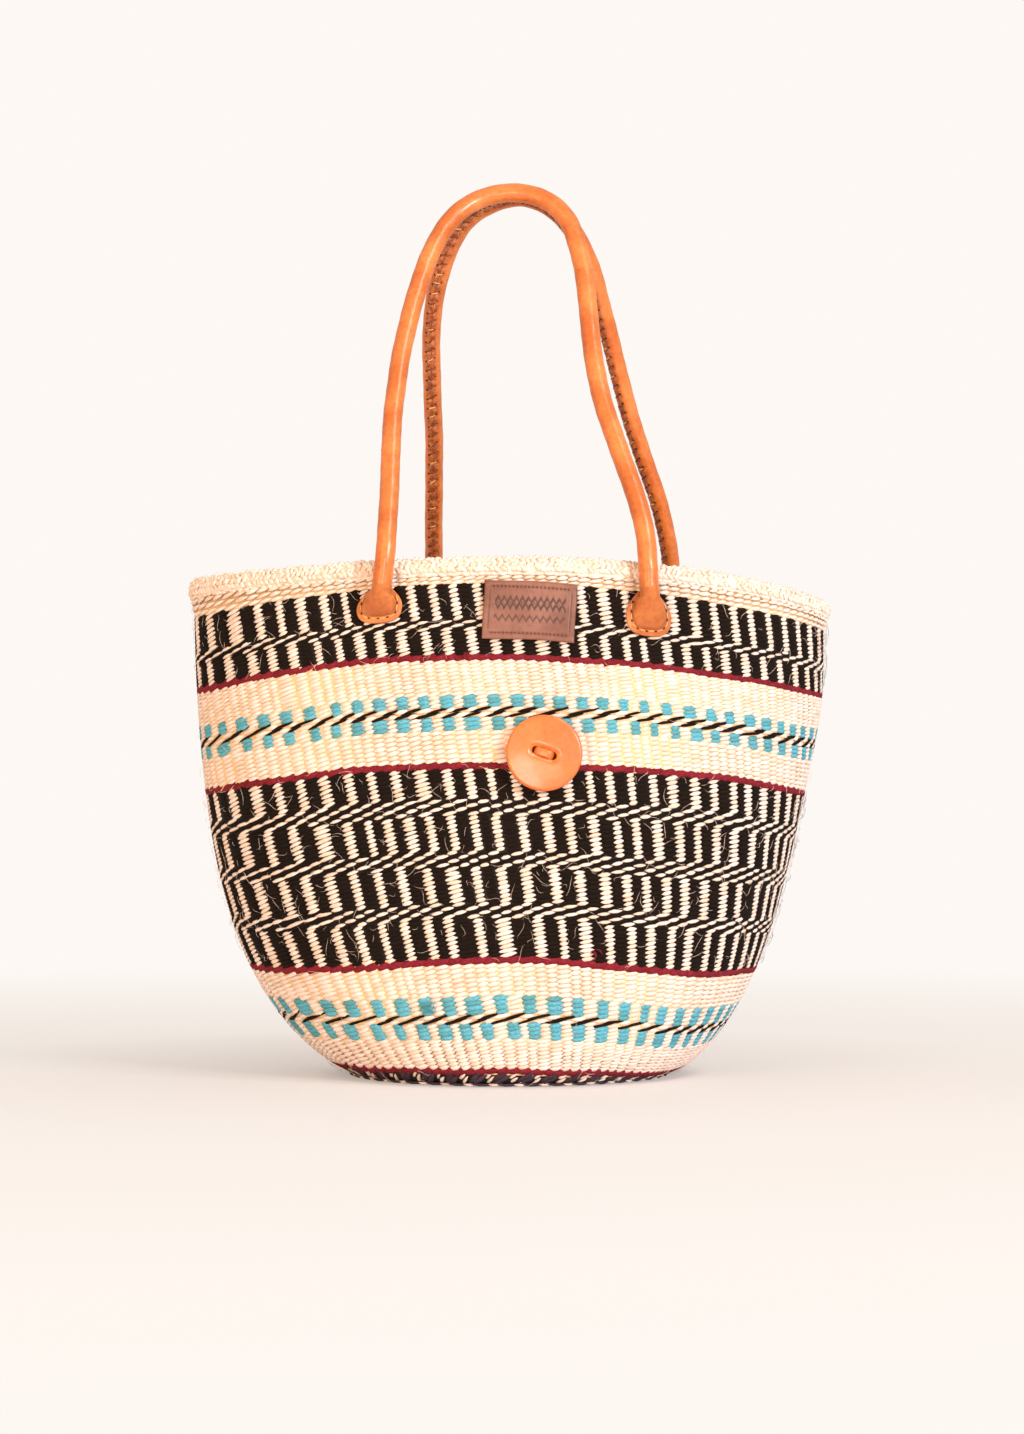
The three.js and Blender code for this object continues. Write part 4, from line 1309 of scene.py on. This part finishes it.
# width and depth of the pressed lines, the lozenges and what the stitches press, in mm
band_groove, small_groove, side_groove = (0.62, 0.45), (0.5, 0.36), (0.4, 0.28)
lozenge_wide, lozenge_deep = 0.9, 0.3
hole_wide, hole_deep, seam_wide, seam_deep, edge_wide, edge_deep = 0.56, 0.7, 1.1, 0.25, 0.5, 0.5


def groove(distance, width, depth):
    """A pressed line: sunk in its middle, with a soft swelling on both sides."""
    away = np.abs(distance) / width
    return depth * (0.3 * fade(away - 1.7, 0.6) - fade(away, 1, 4))


def zigzag(x, y, half_period, half_tall):
    """The distance to a zigzag line that runs along X."""
    saw = np.abs((x / half_period) % 2 - 1) * 2 - 1
    slope = math.hypot(half_period, 2 * half_tall) / half_period
    return (y - half_tall * saw) / slope


def label_relief(x, y):
    """The height of the stamped face, and how much painted shade lies in its grooves and stitch holes, at a
    place on the label, in mm.
    """
    half_wide, half_tall = label_width / 2 / mm, label_tall / 2 / mm
    margin, pitch = label_margin / mm, label_stitch_pitch / mm
    inside = np.abs(x) < band_half_length
    band = inside & (np.abs(y - band_middle) < band_half)
    height = np.zeros_like(x)
    for flip in (-1, 1):
        line = zigzag(x + 1, flip * (y - band_middle), band_period, band_tall)
        height = np.where(band, np.minimum(height, groove(line, *band_groove)), height)
    small = groove(zigzag(x, y - small_middle, small_period, small_tall), *small_groove)
    height = np.where(inside & (np.abs(y - small_middle) < small_half), small, height)
    lozenge = np.abs((x + 1) % (2 * band_period) - band_period) + np.abs(y - band_middle)
    lozenge = -lozenge_deep * fade(lozenge, lozenge_wide, 4)
    height = np.minimum(height, np.where(band, lozenge, 0))
    side_line = groove(np.abs(x) - (half_wide - side_line_inset), *side_groove)
    height += np.where(np.abs(y) < side_line_half, side_line, 0)
    # painted shade, darker where the grooves sink deeper
    dark = np.clip(-height / 0.5, 0, 0.85)
    rows = np.abs(y) - (half_tall - margin)
    hole = fade(np.hypot(((x / pitch) % 1 - 0.5) * pitch, rows), hole_wide, 4)
    hole = np.where(np.abs(x) < half_wide - 3, hole, 0)
    edge = np.minimum(half_wide - np.abs(x), half_tall - np.abs(y))
    height -= hole_deep * hole + seam_deep * fade(rows, seam_wide)
    height -= edge_deep * fade(edge, edge_wide)
    # the stitch holes get painted shade as well
    return height, np.maximum(dark, 0.95 * hole)


# %% Stamped label
# writes painted shade into the leather's shade attribute
def set_painted_shade(bm, values):
    layer = bm.verts.layers.float.new("shade")
    for corner, value in zip(bm.verts, values):
        corner[layer] = value


# how far its edges wave in and out, and how fast
side_wave, side_run, end_wave, end_run = 0.25 * mm, 7 * mm, 0.3 * mm, 9 * mm
bm = bmesh.new()
across_cells, up_cells = round(label_width / cell), round(label_tall / cell)
stretch = Matrix.Diagonal((label_width / 2, label_tall / 2, 1, 1))
bmesh.ops.create_grid(bm, x_segments=across_cells, y_segments=up_cells, size=1, matrix=stretch)
thicken(bm, label_thickness)
x, y, z = flat_corners(bm).T
raised = z > label_thickness / 2
height, dark = [np.where(raised, values, 0) for values in label_relief(x / mm, y / mm)]
x = x + side_wave * np.sin(y / side_run) * np.abs(x) / (label_width / 2)
y = y + end_wave * np.sin(x / end_run + 1) * np.abs(y) / (label_tall / 2)
depth = -(clearance + z + height * mm)
move_to(bm.verts, label_place.near(*turned(x, y, -label_turn), depth))
set_painted_shade(bm, dark)
bmesh.ops.recalc_face_normals(bm, faces=bm.faces)
add_solid("stamped_label", bm, "basket", "brown_leather", [brown_leather], "label_patch")

# %% [markdown]
# Its stitches are small: a short thread lies in every gap between two holes.

# %% Label stitches
reach = label_width / 2 - 4 * mm
x = np.arange(-reach, reach, label_stitch_pitch)
x = np.floor(x / label_stitch_pitch) * label_stitch_pitch
label_ways = np.array([turned(1.0, 0.0, -label_turn)])
thread_lift = clearance + label_thickness - 0.4 * mm
for end, side in (("top", 1), ("bottom", -1)):
    stitches = Grains(stitch_grain)
    spots = np.stack(turned(x, side * (label_tall / 2 - label_margin), -label_turn), -1)
    sizes = (1.3 * mm, 0.6 * mm, 0.6 * mm, thread_lift)
    lay_on_wall(stitches, label_place, spots, label_ways, DARK, *sizes)
    node = f"label_{end}_thread"
    stitches.piece(f"label_{end}_stitches", "basket", "dark_thread", seam_yarns, node)

# %% [markdown]
# ## The button
#
# The button is a thick disc of leather with two holes, and a lace that lies in a shallow
# hollow between them. A spun profile makes the disc. Its rings are close together near the
# middle, so that two small round patches of faces can be taken out of it, their edges drawn
# to true circles and sunk as wells. The hollow is a smooth dip of the face. Painted shade
# darkens the inside of the wells.

# %% Spin the button
button_radius, button_thickness, edge_radius = 21.3 * mm, 4 * mm, 1.3 * mm
button_stand_off, dome, hollow = 4 * mm, 1.2 * mm, 1.3 * mm
hole_radius, hole_x = 2.3 * mm, 4.9 * mm
button_place, button_turn = Place(True, 19 * mm, 187 * mm), math.radians(18)
half_thick, flat_radius = button_thickness / 2, button_radius - edge_radius
face_top, well_deep = half_thick - 0.1 * mm, 0.85 * button_thickness
ring_gap = 0.45 * mm

profile = [(0, -half_thick)]
for angle in np.linspace(-math.pi / 2, math.pi / 2, 9):
    middle = math.copysign(half_thick - edge_radius, angle)
    x = flat_radius + edge_radius * math.cos(angle)
    profile.append((x, middle + edge_radius * math.sin(angle)))
profile += [(x, half_thick) for x in np.arange(flat_radius - 0.3 * mm, ring_gap, -ring_gap)]
profile.append((0, half_thick))
bm = bmesh.new()
points = [bm.verts.new((x, 0, z)) for x, z in profile]
edges = [bm.edges.new(pair) for pair in zip(points, points[1:])]
bmesh.ops.spin(
    bm, geom=points + edges, axis=(0, 0, 1), cent=(0, 0, 0), angle=2 * math.pi, steps=120,
    use_merge=True)
bmesh.ops.remove_doubles(bm, verts=bm.verts, dist=0.02 * mm)
bmesh.ops.recalc_face_normals(bm, faces=bm.faces)
print(len(bm.faces), "faces spun")

# %% Sink the holes
for side in (-1, 1):
    centre = Vector((side * hole_x, 0, half_thick))
    middles = [(face, face.calc_center_median()) for face in bm.faces]
    patch = [f for f, at in middles if (at - centre).length < hole_radius and at.z > face_top]
    bmesh.ops.delete(bm, geom=patch, context="FACES")
    rim = [e for e in bm.edges if e.is_boundary]
    for corner in {v for e in rim for v in e.verts}:
        corner.co = centre + (corner.co - centre).normalized() * hole_radius
    made = bmesh.ops.extrude_edge_only(bm, edges=rim)
    bmesh.ops.translate(bm, verts=new_corners(made), vec=(0, 0, -well_deep))
    bottom = [g for g in made["geom"] if isinstance(g, bmesh.types.BMEdge) and g.is_boundary]
    bmesh.ops.holes_fill(bm, edges=bottom, sides=0)
print(len(bm.faces), "faces with the wells")

# %% Dome, hollow and place
hollow_half, painted_well_shade, well_top = 3.4 * mm, 0.9, 1.5 * mm
face_wave, wave_x, wave_y = 0.12 * mm, 4.3 * mm, 3.7 * mm
shades = []
for corner in bm.verts:
    x, y, z = corner.co
    if z > face_top:
        from_lace = math.hypot(max(0, abs(x) - hole_x), y)
        z += dome * (1 - (math.hypot(x, y) / button_radius) ** 2)
        z -= hollow * fade(from_lace, hollow_half, 4)
        corner.co.z = z + face_wave * math.sin(x / wave_x + 1) * math.sin(y / wave_y)
    # painted shade inside each well
    from_hole = math.hypot(abs(x) - hole_x, y)
    in_well = corner.co.z < half_thick - well_top and from_hole < 1.2 * hole_radius
    shades.append(painted_well_shade if in_well else 0)
set_painted_shade(bm, shades)
bmesh.ops.recalc_face_normals(bm, faces=bm.faces)


def on_button(points):
    """Carries points from the button's own axes, with Z out of its face, to its place."""
    place = button_place
    right, high = turned(place.across, place.up, button_turn)
    middle = place.near(0, 0, 0) + place.normal * (button_stand_off + half_thick)
    return middle + np.asarray(points) @ np.array([right, high, place.normal])


move_to(bm.verts, on_button(flat_corners(bm)))
add_solid("leather_button", bm, "button", "tan_leather", [button_leather], "button")

# %% [markdown]
# The lace is a flat strip that comes up through one hole, lies over the middle, and goes
# down the other, into the wall. It is a loft of rounded flat sections.

# %% Lace
lace_half, lace_thick = 2.15 * mm, 1.3 * mm
bar_height = half_thick + 0.75 * mm
deep_end = -half_thick - button_stand_off - 2 * mm
half_path = [
    (hole_x + 0.1 * mm, deep_end), (hole_x + 0.1 * mm, -1 * mm), (hole_x, 0.6 * mm),
    (hole_x - 1.5 * mm, bar_height - 0.1 * mm),
]
path = [(-x, 0, z) for x, z in half_path] + [(0, 0, bar_height + 0.25 * mm)]
path = smooth_route(path + [(x, 0, z) for x, z in half_path[::-1]], 60)
sideways = np.array([0, 1.0, 0])
outward = np.cross(unit(np.gradient(path, axis=0)), sideways)


def blunted(values, power):
    return np.sign(values) * np.abs(values) ** power


section_turns = even_turns(16)
flat_y = blunted(np.sin(section_turns), 0.5)[:, None] * lace_half * sideways
flat_z = blunted(np.cos(section_turns), 0.6)[:, None] * lace_thick / 2
bm, _ = loft([on_button(point + flat_y + flat_z * out) for point, out in zip(path, outward)])
add_solid("lace", bm, "basket", "tan_leather", [tan_leather], "button_lace")

# %% [markdown]
# ## The closing strap
#
# Inside the back wall hangs a flat strap with a long buttonhole. It is a grid of faces:
# the rows at its end narrow to a half circle, the two middle columns are taken out for the
# buttonhole, and its thickness and rounded edges are added at the end.

# %% Strap
strap_thickness, strap_length, half = 3 * mm, 165 * mm, 8 * mm
slot_length, slot_half, slot_margin = 48 * mm, 3 * mm, 9 * mm
anchor_thickness, anchor_margin = 2.4 * mm, 3.2 * mm
strap_across, strap_rise = 19 * mm, 274 * mm
strap_place = Place(False, strap_across, strap_rise)
strap_depth = wall_thickness + anchor_thickness + 2 * clearance + strap_thickness / 2
tip = 0.02 * mm  # the first row lies so far above the end, where the half circle has width
slot_low = slot_margin + slot_half - strap_length
slot_high = slot_low + slot_length - 2 * slot_half


def round_end(radius, beyond, least):
    """Half the width of a rounded end, so far beyond the start of its half circle."""
    return math.sqrt(max(radius**2 - max(beyond, 0) ** 2, (least * radius) ** 2))


spans = [
    (tip - strap_length, tip + half - strap_length, 9),
    (slot_low - slot_half, slot_low, 5), (slot_low, slot_high, 12),
    (slot_high, slot_high + slot_half, 5), (slot_high + 2 * slot_half, 0, 24),
]
rows = sorted({round(float(y), 7) for span in spans for y in np.linspace(*span)})
shares = (-1, -0.8, None, 0, None, 0.8, 1)  # of the half width, or None beside the slot
bm = bmesh.new()
made = bmesh.ops.create_grid(bm, x_segments=len(shares) - 1, y_segments=len(rows) - 1, size=1)
corners = sorted(made["verts"], key=lambda v: (round(v.co.y, 5), v.co.x))
for index, corner in enumerate(corners):
    row, column = divmod(index, len(shares))
    y, share = rows[row], shares[column]
    slot = round_end(slot_half, max(slot_low - y, y - slot_high), 0.35)
    edge = round_end(half, half - strap_length - y, 0.05)
    corner.co = (math.copysign(slot, column - 3) if share is None else share * edge, y, 0)
middles = [(face, face.calc_center_median()) for face in bm.faces]
lowest_y, highest_y = slot_low - slot_half, slot_high + slot_half
slot = [f for f, at in middles if abs(at.x) < slot_half and lowest_y < at.y < highest_y]
bmesh.ops.delete(bm, geom=slot, context="FACES")
bmesh.ops.recalc_face_normals(bm, faces=bm.faces)
thicken(bm, strap_thickness, 0.5 * mm, 3)
axis = unit(strap_place.across * (1, 1, 0))
axes = np.array([axis, (0, 0, 1), np.cross(axis, (0, 0, 1))])
hinge = strap_place.near(0, 0, strap_depth)
move_to(bm.verts, hinge + (flat_corners(bm) - (0, 0, strap_thickness / 2)) @ axes)
bmesh.ops.recalc_face_normals(bm, faces=bm.faces)
add_solid("strap", bm, "closure_strap", "tan_leather", [tan_leather], "closure_strap")

# %% Anchor
anchor_rise = strap_rise + 2 * anchor_margin - patch_tall / 2
anchor_place = Place(False, strap_across, anchor_rise)
inner_patch("strap_anchor", anchor_place, 4 * mm, anchor_thickness, "closure_anchor")
x, y = patch_width / 2 - anchor_margin, patch_tall / 2 - anchor_margin
line = [(x, -y), (x, y), (-x, y), (-x, -y)]
lift = -(wall_thickness + clearance + anchor_thickness + 0.25 * mm)
sew_line("strap_anchor_stitches", anchor_place, line, 4 * mm, lift, 2.9 * mm,
         "closure_anchor_thread")

# %% [markdown]
# ## Stray hairs
#
# Sisal sheds stiff pale hairs, and they stand out where the wool is black. Each hair is a
# very thin spindle, bent to an arc that leaves the wall in its middle. A knot of turquoise
# wool has frayed, and a few ends of maroon were left standing.

# %% Hairs
hair = Template(3, 9)
hairs = Grains(hair)
shortest, bow, curl, off_wall = 3, 1.1 * mm, 1.6 * mm, 0.1 * mm


def lay_hairs(shares, rises, count, yarn, longest=13, thick=0.21, proud=1.2):
    """Hairs in a range of shares and of heights in mm. Up to so many mm long, so thick, and
    standing so far out of the wall."""
    along = hair.corners[:, 0]
    length = (shortest + (longest - shortest) * random.random(count) ** 1.5) * mm
    x, y, z = hairs.shapes(length, thick * mm, thick * mm, 0, 0.9, 0)
    y = y + (random.standard_normal(count) * bow)[:, None] * (1 - along**2)
    y = y + (random.standard_normal(count) * curl)[:, None] * (along - along**3)
    across, up = turned(x, y, (random.random(count) * math.pi)[:, None])
    proud = (0.2 + proud * random.random(count))[:, None] * mm
    lift = z + proud * (1 - along**2) + off_wall
    share = shares[0] + (shares[1] - shares[0]) * random.random(count)
    rise = (rises[0] + (rises[1] - rises[0]) * random.random(count)) * mm
    ring, whole = way_round(sum(rises) / 2 * mm)
    angle = angle_at(share[:, None] + across / whole, ring)
    corners = wall_point(angle, rise[:, None] + up, -lift)
    corners[..., 2] = np.maximum(corners[..., 2], lowest)
    hairs.add(corners, yarn, length, thick * mm)


everywhere, left_part = (0, 1), (0.21, 0.29)
lay_hairs(everywhere, (74, 180), 900, SISAL)
lay_hairs(everywhere, (240, 286), 420, SISAL)
lay_hairs(everywhere, (10, 240), 240, SISAL)
lay_hairs(everywhere, (1.5, 9), 60, SISAL)
for rises, count in (((74, 176), 90), ((242, 284), 50)):
    lay_hairs(left_part, rises, count, SISAL)
    lay_hairs(left_part, rises, count, BLACK, proud=2)
lay_hairs((-0.062, -0.054), (43, 49), 14, TURQUOISE, 9, 0.5, 2.5)
lay_hairs((0.056, 0.06), (74, 78), 4, MAROON, 9, 1.1, 1.5)
lay_hairs((-0.027, -0.026), (241, 243), 3, MAROON, 8, 1.1, 1.5)
hairs.piece("stray_hairs", "basket", "sisal", yarns)

# %% [markdown]
# ## Floor and light
#
# The floor is a pale disc whose edge melts into the pale backdrop, so that no horizon
# shows. It glows a little for the camera, most away from the basket, so that its contact
# shadow stays. The key light stands in front on the right and a little above, and casts
# the button's shadow to the left. Softer lights and the world fill the rest.

# %% Floor
floor_radius, melt_start, melt_end = 1.7, 0.3, 1.4
material, tree, shader = new_material("pale floor", Roughness=0.9, Base_Color=linear("#edecee"))
place = add_node(tree, "TexCoord").outputs["Object"]
away = add_node(tree, "VectorMath", {0: place}, operation="LENGTH").outputs["Value"]
melt = {"Value": away, "From Min": melt_start, "From Max": melt_end}
melt = add_node(tree, "MapRange", melt, interpolation_type="SMOOTHSTEP").outputs[0]
glow = {"Value": away, "From Min": 0.1, "From Max": 0.4, "To Min": 0.35, "To Max": 0.75}
glow = add_node(tree, "MapRange", glow).outputs[0]
seen = add_node(tree, "LightPath").outputs["Is Camera Ray"]
bright = add_node(tree, "Emission", {"Color": linear("#faf3ec"), "Strength": 1.0}).outputs[0]
clear = add_node(tree, "BsdfTransparent").outputs[0]
share = compute(tree, "MULTIPLY", seen, glow)
lit = add_node(tree, "MixShader", {0: share, 1: shader.outputs[0], 2: bright}).outputs[0]
blend = add_node(tree, "MixShader", {0: melt, 1: lit, 2: clear}).outputs[0]
tree.links.new(blend, tree.nodes["Material Output"].inputs["Surface"])
bm = bmesh.new()
bmesh.ops.create_circle(bm, cap_ends=True, segments=96, radius=floor_radius)
floor = add_object("floor", smooth_mesh("floor", bm))
floor.data.materials.append(material)

# %% World and lamps
world = bpy.data.worlds.new("studio")
bpy.context.scene.world = world
world.use_nodes = True
tree = world.node_tree
fill = tree.nodes["Background"]
fill.inputs["Color"].default_value = linear("#ffeada")
fill.inputs["Strength"].default_value = 0.62
backdrop = add_node(tree, "Background", {"Color": linear("#fdf8f3"), "Strength": 1.0})
seen = add_node(tree, "LightPath").outputs["Is Camera Ray"]
choice = add_node(tree, "MixShader", {0: seen, 1: fill.outputs[0], 2: backdrop.outputs[0]})
tree.links.new(choice.outputs[0], tree.nodes["World Output"].inputs["Surface"])


def area_light(name, size, power, place, code, target=(0, 0, 0.2)):
    data = bpy.data.lights.new(name, "AREA")
    data.shape, data.size, data.energy = "DISK", size, power
    data.color = linear(code)[:3]
    light = add_object(name, data)
    light.location = place
    light.rotation_euler = (Vector(target) - Vector(place)).to_track_quat("-Z", "Y").to_euler()


area_light("key light", 0.6, 34.5, (1.5, -2.0, 0.85), "#fff7fa")
area_light("high light", 0.7, 13, (1.15, -1.2, 1.9), "#fff8f0")
area_light("low bounce light", 0.5, 7, (-0.75, -1.35, 0.14), "#ffc27c", (-0.06, -0.1, 0.14))
area_light("low front light", 0.6, 11, (0.04, -2.4, 0.08), "#fff0dc")
area_light("soft front light", 1.6, 11, (-1.2, -2.2, 1.4), "#ffd3a6")
bpy.context.scene.view_settings.view_transform = "Standard"
